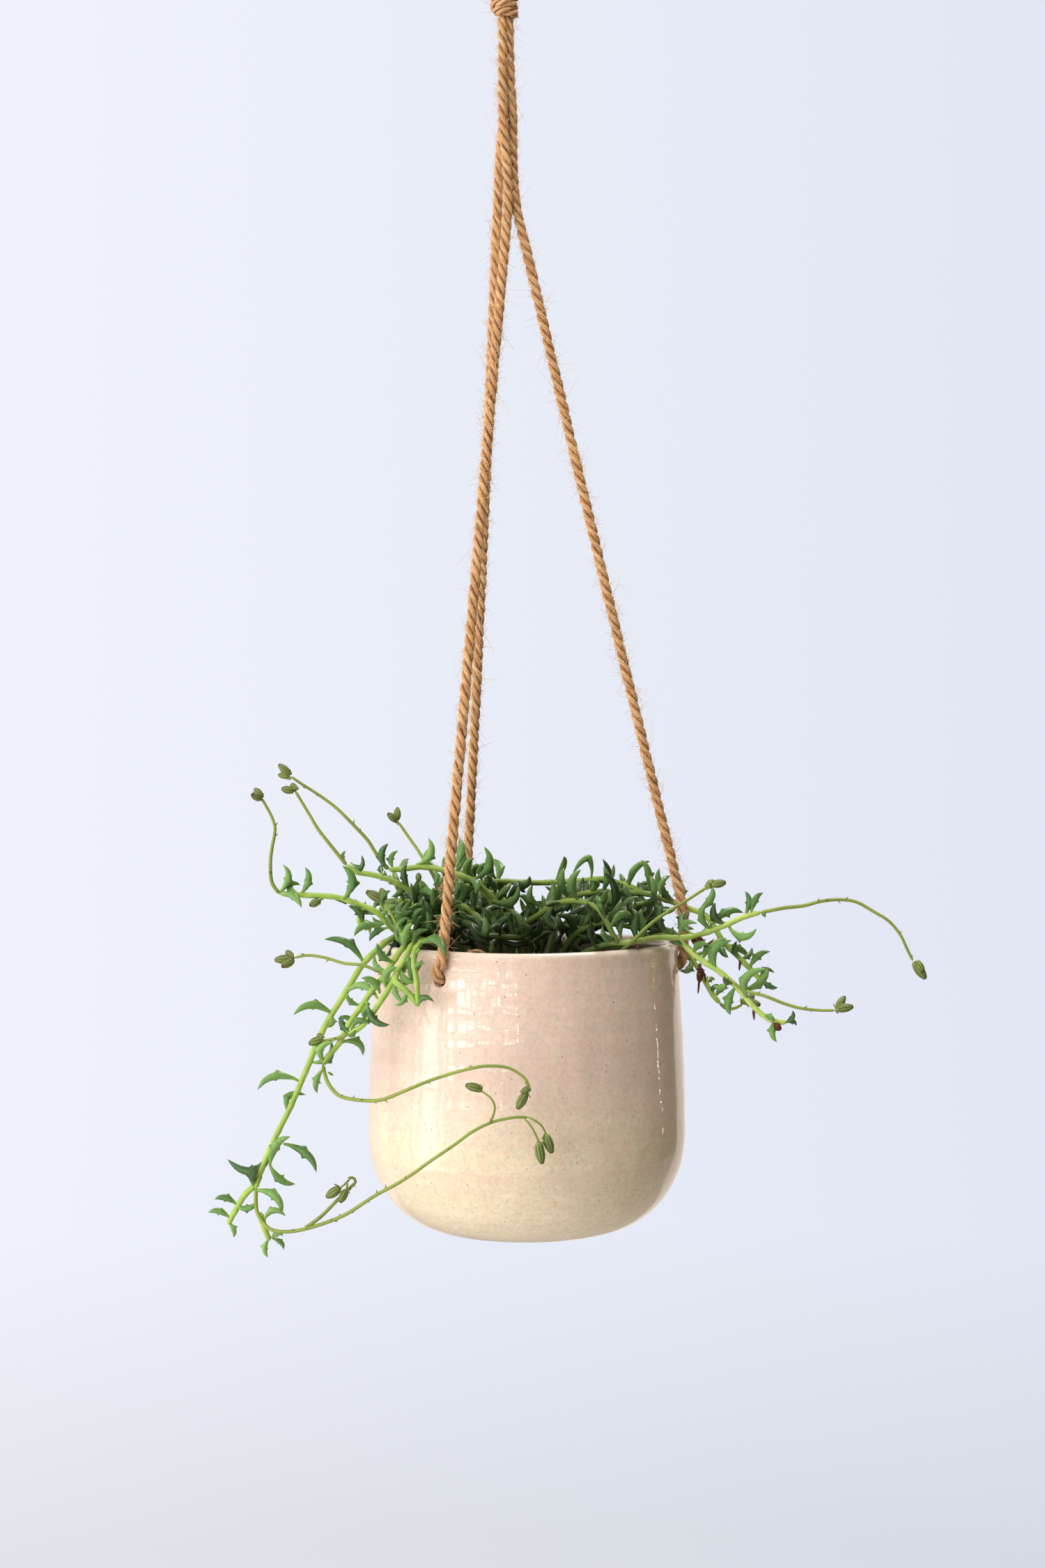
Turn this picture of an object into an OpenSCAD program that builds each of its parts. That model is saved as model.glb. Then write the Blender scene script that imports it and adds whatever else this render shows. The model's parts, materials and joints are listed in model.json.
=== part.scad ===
// Trailing dolphin-leaved senecio in a glazed bowl, hung on three ropes.
// Millimetres. Z is up, the viewer stands on the -Y side. The origin is where
// a hook bears on the hanging loop; the bowl's axis stands a little to +X of it.

/* [Planter] */
// Widest outside diameter of the bowl
pot_d = 140; // [100:1:220]
// Outside diameter at the lip
rim_d = 134; // [90:1:216]
// Height of the bowl
pot_h = 126; // [80:1:200]
// Diameter of the flat foot
foot_d = 68; // [40:1:120]
// Wall thickness
wall = 5; // [3:0.5:9]
// Diameter of the three rope holes
hole_d = 6; // [5:0.5:10]
// Depth of the hole centres below the lip
hole_drop = 12; // [9:1:30]
// Depth of the soil below the lip
soil_drop = 20; // [10:1:50]

/* [Ropes] */
// Rope diameter
rope_d = 4.5; // [3:0.5:5.5]
// Height of the hook's bearing point above the lip
rim_drop = 474; // [440:1:520]
// Sideways distance from the hook to the bowl's axis
axis_x = 10; // [-15:1:15]

/* [Plant] */
// Main stem diameter
stem_d = 2.9; // [2:0.1:4]
// Flower stalk diameter
stalk_d = 1.7; // [1:0.1:2.4]
// Leaf thickness
leaf_d = 3.8; // [2.5:0.1:5]
// Flower bud diameter
bud_d = 3.6; // [2.5:0.1:5]

/* [Hidden] */
pot_r = pot_d / 2;
rim_r = rim_d / 2;
foot_r = foot_d / 2;
belly = pot_h * 2 / 3;
zr = -rim_drop;
at = [axis_x, 0, zr];
Y = [0, 1, 0];

// ---------- vectors and curves ----------
function unit(v) = v / max(norm(v), 1e-6);
function mixed(a, b, t) = a + (b - a) * t;
function rnd(i) = let (x = sin(i * 12.9898 + 4.1) * 43758.5453) x - floor(x);
function span(i, lo, hi) = lo + (hi - lo) * rnd(i);
// Catmull-Rom through a route's points
function cr(a, b, c, d, t) = 0.5 * (2 * b + (c - a) * t + (2 * a - 5 * b + 4 * c - d) * t * t
  + (3 * b - a - 3 * c + d) * t * t * t);
function curve(p, k) = let (n = len(p)) concat(
  [for (i = [0 : n - 2]) for (j = [0 : k - 1])
    cr(p[max(i - 1, 0)], p[i], p[i + 1], p[min(i + 2, n - 1)], j / k)],
  [p[n - 1]]);
function tangent(p, i) = unit(p[min(i + 1, len(p) - 1)] - p[max(i - 1, 0)]);
function side(t, u) = unit(u - t * (u * t));
function frames(p) = [for (i = 0, u = side(tangent(p, 0), abs(tangent(p, 0) * Y) > 0.9 ? [0, 0, 1] : Y);
  i < len(p); i = i + 1, u = i < len(p) ? side(tangent(p, i), u) : u) u];
function along(p, t) = let (n = len(p) - 1, x = t * n, i = min(floor(x), n - 1))
  mixed(p[i], p[i + 1], x - i);

// ---------- closed skins: [points, faces] ----------
// Rings of m points, closed by a point at each end
function skin(rings, first, last) = let (m = len(rings[0]), n = len(rings)) [
  concat([first], [for (r = rings) for (q = r) q], [last]),
  concat(
    [for (j = [0 : m - 1]) [0, 1 + j, 1 + (j + 1) % m]],
    [for (i = [0 : n - 2]) for (j = [0 : m - 1])
      let (a = 1 + i * m + j, b = 1 + i * m + (j + 1) % m) each [[a, b + m, b], [a, a + m, b + m]]],
    [for (j = [0 : m - 1])
      [1 + n * m, 1 + (n - 1) * m + (j + 1) % m, 1 + (n - 1) * m + j]])
];
function ring(c, t, u, r, m) = let (w = cross(t, u))
  [for (j = [0 : m - 1]) c - r * (cos(360 * j / m) * u + sin(360 * j / m) * w)];
// A tube of m sides along p, r0 thick at the start and r1 at the end
function tube(p, r0, r1, m) = let (n = len(p) - 1, f = frames(p)) skin(
  [for (i = [0 : n]) ring(p[i], tangent(p, i), f[i], mixed(r0, r1, i / n), m)],
  p[0] - tangent(p, 0) * r0 * 0.5, p[n] + tangent(p, n) * r1 * 0.6);
// A leaf from b to e, bowed by c: thin at the base, a fin above and below its middle, pointed
function leaf(b, e, c, w) = let (n = unit(c), s = unit(cross(e - b, c)), h = w / 2) skin(
  [for (k = [[0.14, 0.42, 0.45], [0.5, 1.25, 0.95], [0.8, 0.66, 0.68]])
    let (o = mixed(b, e, k[0]) + c * 4 * k[0] * (1 - k[0]))
    [o + n * h * k[1], o + s * h * k[2], o - n * h * k[1] * 1.1, o - s * h * k[2]]],
  b, e);
// A bud: an oval with its calyx end cut blunt
function bud(b, e, w) = let (d = unit(e - b), u = side(d, abs(d * Y) > 0.9 ? [1, 0, 0] : Y)) skin(
  [for (k = [[0.04, 0.5], [0.4, 1.0], [0.8, 0.75]])
    ring(mixed(b, e, k[0]), d, u, w / 2 * k[1], 5)], b, e);
// Several skins as one polyhedron, each its own closed solid
function offsets(s) = [for (i = 0, o = 0; i < len(s); o = o + len(s[i][0]), i = i + 1) o];
module solids(s) {
  o = offsets(s);
  translate(at) polyhedron(
    points = [for (x = s) each x[0]],
    faces = [for (i = [0 : len(s) - 1]) for (f = s[i][1]) f + [o[i], o[i], o[i]]],
    convexity = 6);
}
// Leaf rows are [base, tip, bow]; the bow swells to the left of the way it points
function leaf_w(b, e) = leaf_d * min(1, 0.45 + norm(e - b) / 22);
function leaf_row(r) = let (c = cross(r[1] - r[0], Y))
  leaf(r[0], r[1], unit(c) * r[2], leaf_w(r[0], r[1]));
module leaves(rows) color([0.22, 0.46, 0.33]) solids([for (r = rows) leaf_row(r)]);
module stems(paths, k = 2) color([0.5, 0.68, 0.25])
  solids([for (p = paths) tube(curve(p, k), stem_d / 2, stem_d * 0.4, 6)]);
// Flowers: stalk routes, pedicel routes and buds [base, tip, share of the bud's width]
module flowers(stalks, pedicels, buds, k = 2) color([0.45, 0.55, 0.25]) solids(concat(
  [for (p = stalks) tube(curve(p, k), stalk_d / 2, stalk_d * 0.36, 5)],
  [for (p = pedicels) tube(curve(p, 2), 0.5, 0.4, 4)],
  [for (b = buds) bud(b[0], b[1], bud_d * b[2])]));

// ---------- bowl, soil ----------
// Outline from the lip down to the foot, o mm inside the outer face
function out_r(z) = z > -6 ? rim_r + 0.3 - 0.4 * sin(max(z + 6, 0) * 15)
  : z > -belly ? mixed(rim_r - 0.1, pot_r, sin(90 * (-z - 6) / (belly - 6)))
  : foot_r + (pot_r - foot_r) * sqrt(max(1 - pow((-z - belly) / (pot_h - belly), 2), 0));
function lower(o, n = 10) = [for (i = [1 : n])
  [foot_r - o * 0.6 + (pot_r - foot_r - o * 0.4) * cos(90 * i / n),
    -belly - (pot_h - belly - o) * sin(90 * i / n)]];
module pot() color([0.9, 0.8, 0.72]) translate(at) difference() {
  rotate_extrude($fn = 120) polygon(concat(
    [[0, -pot_h], [foot_r - 1, -pot_h], [foot_r + 1.5, -pot_h + 0.6]],
    [for (i = [9 : -1 : 1]) lower(0)[i - 1]],
    [[pot_r, -belly]],
    [for (z = [-belly + 12 : 12 : -12]) [out_r(z), z]],
    [[rim_r, -6], [rim_r + 0.3, -2.6], [rim_r - 0.2, -0.9], [rim_r - 1.3, -0.1], [rim_r - 2.5, 0],
     [rim_r - 3.8, -0.5], [rim_r - 4.7, -1.8], [rim_r - wall, -4]],
    [for (z = [-12 : -12 : -belly + 12]) [out_r(z) - wall, z]],
    [for (i = [0 : 9]) i == 0 ? [pot_r - wall, -belly] : lower(wall)[i - 1]],
    [[0, -pot_h + wall]]));
  for (a = [-33, 87, 207]) rotate([0, 0, a]) translate([0, -rim_r + wall + 4, -hole_drop])
    rotate([90, 0, 0]) cylinder(d = hole_d, h = wall + 10, $fn = 48);
}
module potting_soil() color([0.2, 0.14, 0.1]) translate(at) rotate_extrude($fn = 96) polygon(concat(
  [[0, -pot_h + wall + 0.3]],
  [for (i = [9 : -1 : 1]) lower(wall + 0.3)[i - 1]],
  [for (z = [-belly : 12 : -soil_drop - 6]) [out_r(z) - wall - 0.3, z]],
  [[out_r(-soil_drop - 2) - wall - 0.3, -soil_drop - 2], [50, -soil_drop], [25, -soil_drop + 2],
    [0, -soil_drop + 3]]));

// ---------- ropes ----------
module rope(p, r1 = rope_d / 2 * 0.82) color([0.8, 0.6, 0.38]) solids([tube(curve(p, 2), rope_d / 2,
    r1, 8)]);
front_left = [[-30.5, -47, -12], [-33.5, -51.6, -12], [-36, -55.6, -11.8], [-37.6, -58, -9.5],
    [-37, -58.8, -6],
  [-35, -59.8, 0], [-31.5, -55, 45], [-22, -35, 160], [-14, -16, 258], [-8.5, -2.5, 325],
  [-9, -2.2, 345], [-10.5, -2, 365], [-10.8, -1.6, 385], [-10.6, -1.2, 402], [-11, -1, 428]];
right = [[56, -3, -12], [60, -3.2, -12], [64.6, -3.4, -11.8], [68, -3.6, -9.5], [69.4, -3.8, -6],
  [69.4, -4, 0], [68, -4, 20], [62, -3, 45], [31, -2, 174], [0.5, -0.8, 304],
  [-4.5, 0, 326], [-6.3, 0.8, 345], [-6.4, 1, 365], [-7.4, 0.6, 385], [-8, 0.2, 402], [-8.2, 0, 428]];
back = [[-25.5, 50, -12], [-27.3, 53.6, -12], [-29.2, 57.4, -11.8], [-30.9, 60.6, -9.5],
    [-31.2, 61.8, -6],
  [-30.4, 62.2, 0], [-27.2, 54, 42], [-21, 33, 158], [-14.9, 9, 286], [-13.2, 4, 322],
  [-12.2, 2, 345], [-10.6, 2.4, 365], [-9.2, 2.6, 385], [-9.4, 2.4, 402], [-10.4, 2, 428]];
module rope_front_left() rope(front_left);
module rope_right() rope(right);
module rope_back() rope(back);
// A stopper knot: an overhand knot whose axis u points out through the wall
module stopper(c, u) {
  v = unit(cross([0, 0, 1], u));
  w = cross(u, v);
  color([0.8, 0.6, 0.38]) solids([tube([for (a = [20 : 15 : 340])
    let (r = 3.4 + 1.5 * cos(3 * a / 2)) c + v * r * cos(a) + w * r * sin(a) + u * 1.9 * sin(3 * a / 2)],
    rope_d * 0.42, rope_d * 0.42, 6)]);
}
module knot_front_left() stopper([-28.6, -44, -12], unit([-0.54, -0.84, 0]));
module knot_right() stopper([52.4, -2.8, -12], [1, 0, 0]);
module knot_back() stopper([-23.9, 46.8, -12], unit([-0.46, 0.89, 0]));
// Turns of rope bound round the three ropes, climbing from the lowest turn
module gathering_wrap() color([0.8, 0.6, 0.38]) solids([tube([for (a = [0 : 24 : 1800])
  let (b = a - 150) [-10 + 4.6 * cos(b), 4.6 * sin(b), 411.5 + a * 3.6 / 360 - 0.9 * cos(b)]], 1.9,
    1.9, 6)]);
module hanging_loop() color([0.8, 0.6, 0.38]) solids([tube(curve([[-12, 0, 420], [-13, 0, 432],
    [-19, 0, 446],
  [-21.5, 0, 460], [-18, 0, 472], [-10, 0, 476.2], [-2, 0, 472], [1.5, 0, 460], [-1, 0, 446],
    [-7, 0, 432],
  [-8, 0, 420]], 2), rope_d / 2, rope_d / 2, 8)]);

// ---------- crown: short stems over the soil, leaves turning round them ----------
crown_front = [
  [[-14, -30, -18], [-15, -46, -4], [-15, -50, 1], [-17, -44, 6], [-20, -38, 12], [-25, -32, 16],
    [-32, -26, 19], [-42, -22, 18]],
  [[-8, -10, -19], [-6, -10, 0], [-2, -14, 7], [5, -20, 13], [12, -28, 18], [20, -34, 20], [26, -40, 19],
   [31, -44, 16], [35, -48, 9], [38, -50, 3]],
  [[-8, -4, -19], [-6, -6, 0], [-2, -10, 4], [8, -16, 7], [18, -22, 8], [28, -26, 6]],
  [[-10, -12, -19], [-18, -24, 4], [-32, -32, 12], [-46, -38, 12], [-56, -42, 8]],
  [[-10, -6, -19], [-22, -12, 8], [-36, -20, 18], [-50, -26, 18]],
  [[0, -16, -19], [2, -32, 0], [-6, -44, 5], [-22, -50, 6]],
  [[8, -12, -19], [20, -26, 4], [34, -34, 10], [48, -34, 8]],
  [[-20, -20, -19], [-34, -34, 2], [-46, -44, 8], [-52, -50, 4]]
];
crown_back = [
  [[-12, 0, -19], [-12, -6, 4], [-15, -6, 14], [-19, -4, 22], [-24, -2, 27], [-30, 0, 30], [-38, 0, 32]],
  [[-20, 10, -19], [-34, 10, 6], [-32, 12, 18], [-21, 14, 25], [-12, 18, 26], [4, 24, 25], [26, 24, 26],
   [36, 20, 27], [46, 12, 24], [53, 4, 21]],
  [[8, 0, -19], [14, 0, 2], [25, 2, 10], [35, 0, 12], [45, -4, 11], [52, -10, 10], [60, -18, 7]],
  [[10, -2, -19], [28, -10, 6], [44, -14, 16], [58, -8, 18]],
  [[-8, 8, -19], [-22, 20, 6], [-36, 30, 16], [-48, 36, 14], [-56, 40, 7]],
  [[-2, 12, -19], [-8, 30, 8], [-14, 46, 16], [-15, 58, 12], [-15, 68, 4], [-15, 73, -5]],
  [[6, 10, -19], [14, 28, 8], [22, 44, 16], [29, 54, 13], [36, 60, 5]],
  [[10, 6, -19], [28, 16, 10], [44, 26, 18], [56, 34, 14]],
  [[0, 4, -19], [-6, 8, 10], [-14, 14, 20], [-28, 16, 24], [-40, 12, 24]],
  [[4, 2, -19], [10, 4, 10], [22, 8, 20], [38, 8, 22]],
  [[-14, 2, -19], [-30, 4, 6], [-46, 6, 16], [-58, 4, 18]]
];
// Shoots that lean on the back of the lip, low over the soil
crown_low = [
  [[0, 18, -19], [2, 34, -8], [4, 46, 0], [8, 54, 5], [14, 58, 8]],
  [[-10, 20, -19], [-16, 38, -8], [-24, 48, 1], [-34, 50, 6], [-42, 46, 9]],
  [[10, 22, -19], [18, 38, -6], [28, 46, 3], [40, 46, 7], [50, 38, 8]],
  [[-6, 24, -19], [-6, 44, -6], [-4, 54, 3], [2, 60, 6], [6, 66, 4]],
  [[8, 2, -19], [20, 4, -1], [36, 10, 7], [50, 22, 8], [58, 30, 5]],
  [[-14, -2, -19], [-26, -4, 1], [-38, 4, 8], [-52, 18, 8], [-60, 26, 5]]
];
function tuft(p, n, seed) = let (q = curve(p, 4)) [for (i = [0 : n - 1])
  let (t = 0.22 + 0.76 * (i + 0.5) / n, k = seed * 37 + i * 7, b = along(q, t),
    g = tangent(q, round(t * (len(q) - 1))), u = side(g, abs(g * Y) > 0.9 ? [0, 0, 1] : Y),
    a = i * 137.5 + span(k, -30, 30), v = cos(a) * u + sin(a) * cross(g, u),
    d = unit(v + g * span(k + 1, 0, 0.7) + [0, 0, 0.4]),
    e = b[2] < 13 && norm([b[0], b[1]]) > 36 ? unit([d[0], d[1], abs(d[2]) + 0.2]) : d,
    s = span(k + 3, 0, 360), f = side(e, abs(e * Y) > 0.9 ? [0, 0, 1] : Y))
  [b, b + e * span(k + 2, 9.5, 15), (cos(s) * f + sin(s) * cross(e, f)) * span(k + 4, 1, 3.4)]];
module tufts(paths, n, seed) color([0.2, 0.44, 0.32]) solids(
  [for (i = [0 : len(paths) - 1]) for (r = tuft(paths[i], n, seed + i)) leaf(r[0], r[1], r[2],
    leaf_w(r[0], r[1]))]);
module crown_stems_front() stems(crown_front);
module crown_stems_back() stems(crown_back);
module crown_stems_low() stems(crown_low);
module crown_leaves_front() tufts([for (i = [0, 1, 2, 5, 6]) crown_front[i]], 13, 1);
module crown_leaves_left() tufts([for (i = [3, 4, 7]) crown_front[i]], 13, 11);
module crown_leaves_right() tufts([for (i = [1, 2, 3, 7, 9]) crown_back[i]], 13, 21);
module crown_leaves_back() tufts([for (i = [0, 4, 5, 6, 8, 10]) crown_back[i]], 12, 31);
module crown_leaves_low() tufts(crown_low, 12, 60);
module rim_leaves() leaves([
  [[-24, -4, 28], [-18, -10, 42], -3.5], [[-20, 6, 27], [-19, 2, 35], 1], [[-14, 4, 28], [-17, 0, 39], 1],
  [[29, 10, 28], [21, 6, 31], -7], [[36, -20, 12], [34, -28, 32], -3], [[55, 10, 22], [52, 4, 36], -1],
  [[12, -28, 18], [13, -34, 7], -3.2], [[-20, -38, 12], [-12, -42, 16], -2], [[-15, -16, 19],
    [-3, -24, 25], -3],
  [[-30, -20, 1], [-23, -28, 7], -2], [[29, -46, 1], [27, -44, 11], 1], [[47, -46, 3],
    [47, -46, 16], 0.8],
  [[40, -48, 5], [41, -46, 13], 1], [[40, 14, 26], [47, 18, 28], -1.6], [[7, -20, 17], [2, -24, 26], 3],
  [[28, -40, 14], [27, -40, 22], 0.6], [[63, 8, 21], [59, 6, 32], 1], [[69, 4, 17], [68, 8, 27], -1],
  [[-59, -44, 9], [-67, -46, 4], -0.8], [[-55, -46, 4], [-51, -50, 14], 1.2], [[-61, -45, 17],
    [-58, -48, 25], 1.2],
  [[-54, -46, 11], [-48, -44, 16], 1]
]);
// The pale twig that lies on the soil behind the lip
module twig() color([0.75, 0.6, 0.45]) solids([tube([[-28, -46, -4], [-24, -49, -1], [-19, -52, -0.5],
    [-14, -50, -5]], 0.8, 0.5, 5)]);

// ---------- vine a: upper left ----------
vine_a = [[-4, -4, -19], [-8, -10, 2], [-13, -14, 17], [-18, -16, 23], [-24, -18, 28], [-31, -20, 31],
    [-38, -20, 33],
  [-46, -20, 34], [-53, -20, 33], [-60, -20, 33]];
module vine_a_stem() stems([vine_a]);
module vine_a_leaves() leaves([
  [[-61, -20, 33], [-61, -22, 44], 1.5], [[-58, -20, 33], [-57, -18, 41], 1], [[-48, -20, 35],
    [-42, -24, 46], -2.5],
  [[-39, -20, 34], [-44, -14, 41], 2], [[-31, -18, 34], [-29, -12, 46], -1], [[-53, -20, 33],
    [-53, -10, 37], 0.5],
  [[-54, -20, 31], [-58, -26, 21], 1.5], [[-41, -20, 33], [-40, -22, 26], 1], [[-62, -20, 32],
    [-63, -22, 28], 0.4],
  [[-26, -18, 29], [-22, -24, 22], 1.5], [[-21, -16, 26], [-28, -10, 20], 1.5]
]);
module vine_a_flowers() flowers(
  [[[-60, -20, 33], [-64, -20, 37], [-69, -21, 45], [-74, -22, 51], [-81, -23, 58], [-90, -24, 65],
    [-99, -25, 71], [-102, -25, 73]]],
  [], [[[-102.5, -25, 74], [-107.5, -25, 78.5], 0.9], [[-103.5, -25, 73.5], [-108, -21, 74], 0.75],
  [[-102, -25, 73], [-104, -25, 71.5], 0.4]]);

// ---------- vine b ----------
vine_b = [[-6, -10, -19], [-24, -16, 0], [-35, -20, 9], [-42, -22, 17], [-48, -24, 22],
    [-58, -26, 28], [-67, -27, 31],
  [-73, -28, 32], [-78, -28, 35]];
module vine_b_stem() stems([vine_b, [[-30, -34, -10], [-38, -32, 4], [-44, -28, 16], [-47, -25, 23],
    [-47, -24, 28]]]);
module vine_b_leaves() leaves([
  [[-78, -28, 36], [-79, -26, 41], 0.5], [[-76, -28, 36], [-71, -30, 39], -3.5], [[-62, -27, 31],
    [-63, -22, 35], 0.5],
  [[-51, -25, 25], [-53, -28, 35], 1], [[-48, -24, 22], [-39, -32, 21], 1.5], [[-56, -26, 27],
    [-60, -18, 30], 1],
  [[-44, -23, 19], [-52, -32, 15], 1.5], [[-38, -21, 13], [-33, -28, 22], 1.5], [[-42, -30, 11],
    [-48, -38, 9], 1]
]);
module vine_b_flowers() flowers(
  [[[-78, -28, 35], [-85, -28, 44], [-91, -28, 52], [-96, -28, 60], [-100, -28, 67]]],
  [], [[[-101, -28, 67], [-106, -28, 68], 0.9], [[-100, -28, 67.5], [-102, -24, 70], 0.8],
  [[-47, -24, 28], [-47, -24, 31.5], 0.7]]);

// ---------- vine c: lies over the left rim ----------
vine_c = [[-8, -14, -19], [-34, -22, -4], [-50, -25, 3], [-56, -27, 6], [-60, -29, 10],
    [-65, -31, 15], [-72, -32, 18],
  [-80, -33, 21], [-87, -34, 22], [-97, -34, 22.5], [-106, -34, 23]];
module vine_c_stem() stems([vine_c, [[-70, -32, 17], [-72, -31, 12], [-71, -30, 8]]]);
module vine_c_leaves() leaves([
  [[-106, -34, 24], [-103, -36, 35], -1.5], [[-105, -34, 24], [-98, -30, 27], 1.2], [[-97, -34, 23],
    [-102, -30, 30], 2],
  [[-97, -34, 23], [-94, -36, 34], -1.5], [[-106, -34, 23], [-96, -40, 18], 1], [[-84, -34, 22],
    [-77, -30, 26], -3.5],
  [[-79, -34, 21], [-78, -38, 35], -3.5], [[-71, -32, 18], [-76, -30, 17], -1], [[-71, -30, 9],
    [-76, -36, 18], -1.5],
  [[-63, -31, 8], [-74, -36, 6], -1.5], [[-65, -31, 14], [-70, -28, 19], 1], [[-66, -31, 16],
    [-62, -24, 19], 1],
  [[-60, -30, 11], [-67, -24, 12], 1], [[-71, -30, 9], [-67, -34, 6], 0.5], [[-56, -27, 6],
    [-60, -34, -4], 1.2],
  [[-62, -30, 12], [-56, -36, 18], 1.4]
]);
module vine_c_flowers() flowers(
  [[[-106, -34, 23], [-109, -34, 27], [-110, -34, 32], [-110, -34, 38], [-109, -34, 44],
    [-108, -34, 51], [-110, -34, 57],
    [-114, -34, 64]], [[-87, -34, 22], [-88, -34, 21], [-89, -34, 20]]],
  [], [[[-114, -34, 64.5], [-117, -32, 68], 0.9], [[-114, -34, 64], [-117.5, -38, 65.5], 1],
    [[-89, -34, 20], [-93, -36, 18], 0.9]]);

// ---------- vine f: the long one at the left ----------
vine_f = [[-10, -6, -19], [-34, -12, -2], [-47, -18, 5], [-57, -30, 4], [-63, -35, 0], [-70, -37, -7],
    [-75, -37, -15],
  [-80, -37, -23], [-85, -37, -31], [-90, -36, -41], [-93, -36, -49], [-96, -36, -56],
    [-102, -36, -70], [-109, -36, -84],
  [-114, -36, -96], [-116, -36, -103]];
module vine_f_stem() stems([vine_f]);
module vine_f_leaves() leaves([
  [[-70, -37, -7], [-86, -40, 4], -3.5], [[-83, -37, -29], [-99, -42, -27], -3], [[-84, -37, -29],
    [-84, -46, -33], 1],
  [[-92, -36, -49], [-83, -42, -40], -3.5], [[-98, -36, -57], [-115, -38, -59], -3],
    [[-102, -36, -71], [-96, -32, -63], 3.5],
  [[-110, -36, -93], [-102, -44, -79], 1.5], [[-104, -36, -84], [-89, -40, -94], 1],
    [[-109, -36, -86], [-128, -34, -92], 6],
  [[-117, -36, -102], [-115, -42, -92], 1], [[-110, -36, -93], [-100, -34, -102], -1.5],
    [[-116, -36, -104], [-104, -40, -112], 2]
]);
module vine_f_side_shoots() {
  stems([[[-114, -36, -97], [-117, -35, -102], [-121, -33, -106], [-124, -31, -111], [-129, -29, -120]],
    [[-114, -38, -113], [-112, -38, -120], [-110, -37, -125]]]);
}
module vine_f_shoot_leaves() leaves([
  [[-112, -40, -116], [-103, -42, -113], 2.2], [[-110, -38, -124], [-111, -38, -132], -1],
    [[-109, -38, -124], [-104, -34, -129], 0.5],
  [[-109, -38, -124], [-104, -43, -121], 0.8], [[-125, -31, -111], [-134, -32, -108], -1],
    [[-125, -31, -112], [-116, -34, -110], -1],
  [[-128, -30, -117], [-137, -30, -114], -1], [[-129, -29, -119], [-126, -30, -125], 0.5]
]);
module vine_f_flowers() flowers(
  [[[-116, -36, -103], [-116, -37, -108], [-115, -39, -113], [-112, -42, -117], [-108, -45, -119],
    [-101, -48, -119],
    [-93, -52, -117], [-85, -56, -114], [-75, -61, -109], [-64, -67, -101], [-53, -73, -94],
      [-41, -78, -85], [-30, -82, -77],
    [-22, -84, -71], [-14, -85, -67], [-6, -86, -65], [0, -86, -65]],
   [[-94, -52, -117], [-87, -54, -112], [-80, -55, -105], [-75, -55, -100], [-72, -56, -97],
     [-72.5, -56.5, -95], [-75, -57.5, -94.5]]],
  [[[-16, -85, -68], [-14, -86, -65], [-13, -86, -61], [-15, -86, -57], [-19, -86, -54]],
   [[0, -86, -65], [3, -87, -66], [6, -87, -68.5], [7.5, -86, -72]], [[-1, -86, -65.5], [2, -88, -69],
     [5, -88, -75]],
   [[-74, -57, -95], [-76, -58, -97], [-78.5, -58, -99]], [[-75, -58, -96], [-75.5, -58, -99.5]]],
  [[[7.5, -86, -72], [10, -86, -79.5], 1.05], [[4.5, -88, -75], [6, -88, -83.5], 1.05],
    [[-18.5, -86, -53.5], [-25, -86, -52], 0.95],
   [[-78.5, -58, -99], [-84, -56, -103], 1.05], [[-75.5, -58, -99.5], [-78, -60, -104.5], 0.9]], 1);

// ---------- vine g ----------
vine_g = [[-8, -8, -19], [-30, -24, -2], [-42, -32, 5], [-48, -42, 4], [-53, -49, 0], [-59, -52, -9],
    [-66, -52, -18],
  [-70, -52, -24], [-75, -51, -31], [-79, -50, -39], [-84, -50, -45], [-86, -50, -48]];
module vine_g_stem() stems([vine_g]);
module vine_g_leaves() leaves([
  [[-52, -49, 0], [-49, -54, 12], 0.8], [[-56, -52, -5], [-63, -56, 3], 1], [[-58, -52, -9],
    [-65, -48, -3], 1.2],
  [[-58, -52, -8], [-49, -58, -2], -1.5], [[-62, -52, -18], [-69, -56, -11], -1.5], [[-63, -52, -20],
    [-76, -44, -17], -2.5],
  [[-70, -51, -23], [-76, -54, -18], 1], [[-73, -50, -33], [-79, -52, -28], -1.2], [[-85, -50, -48],
    [-82, -54, -38], 3],
  [[-78, -50, -39], [-69, -46, -44], 2.5], [[-86, -52, -50], [-89, -50, -60], -0.8], [[-45, -40, 5],
    [-40, -48, 12], 1.5],
  [[-48, -44, 3], [-56, -40, 10], 1.5]
]);
module vine_g_flowers() flowers(
  [[[-86, -50, -48], [-85, -52, -52], [-83, -55, -56], [-79, -58, -60], [-74, -62, -61],
    [-67, -67, -61], [-59, -72, -60],
    [-49, -78, -55], [-38, -82, -50], [-22, -86, -45], [-14, -87, -44], [-7, -87, -45],
      [-1, -87, -49], [1, -87, -53]]],
  [], [[[-0.5, -87, -55], [-4, -87, -61.5], 1], [[1, -87, -53], [-2.5, -87, -55], 0.75],
  [[-84, -53, -51], [-81, -50, -53], 0.35]], 1);

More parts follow.
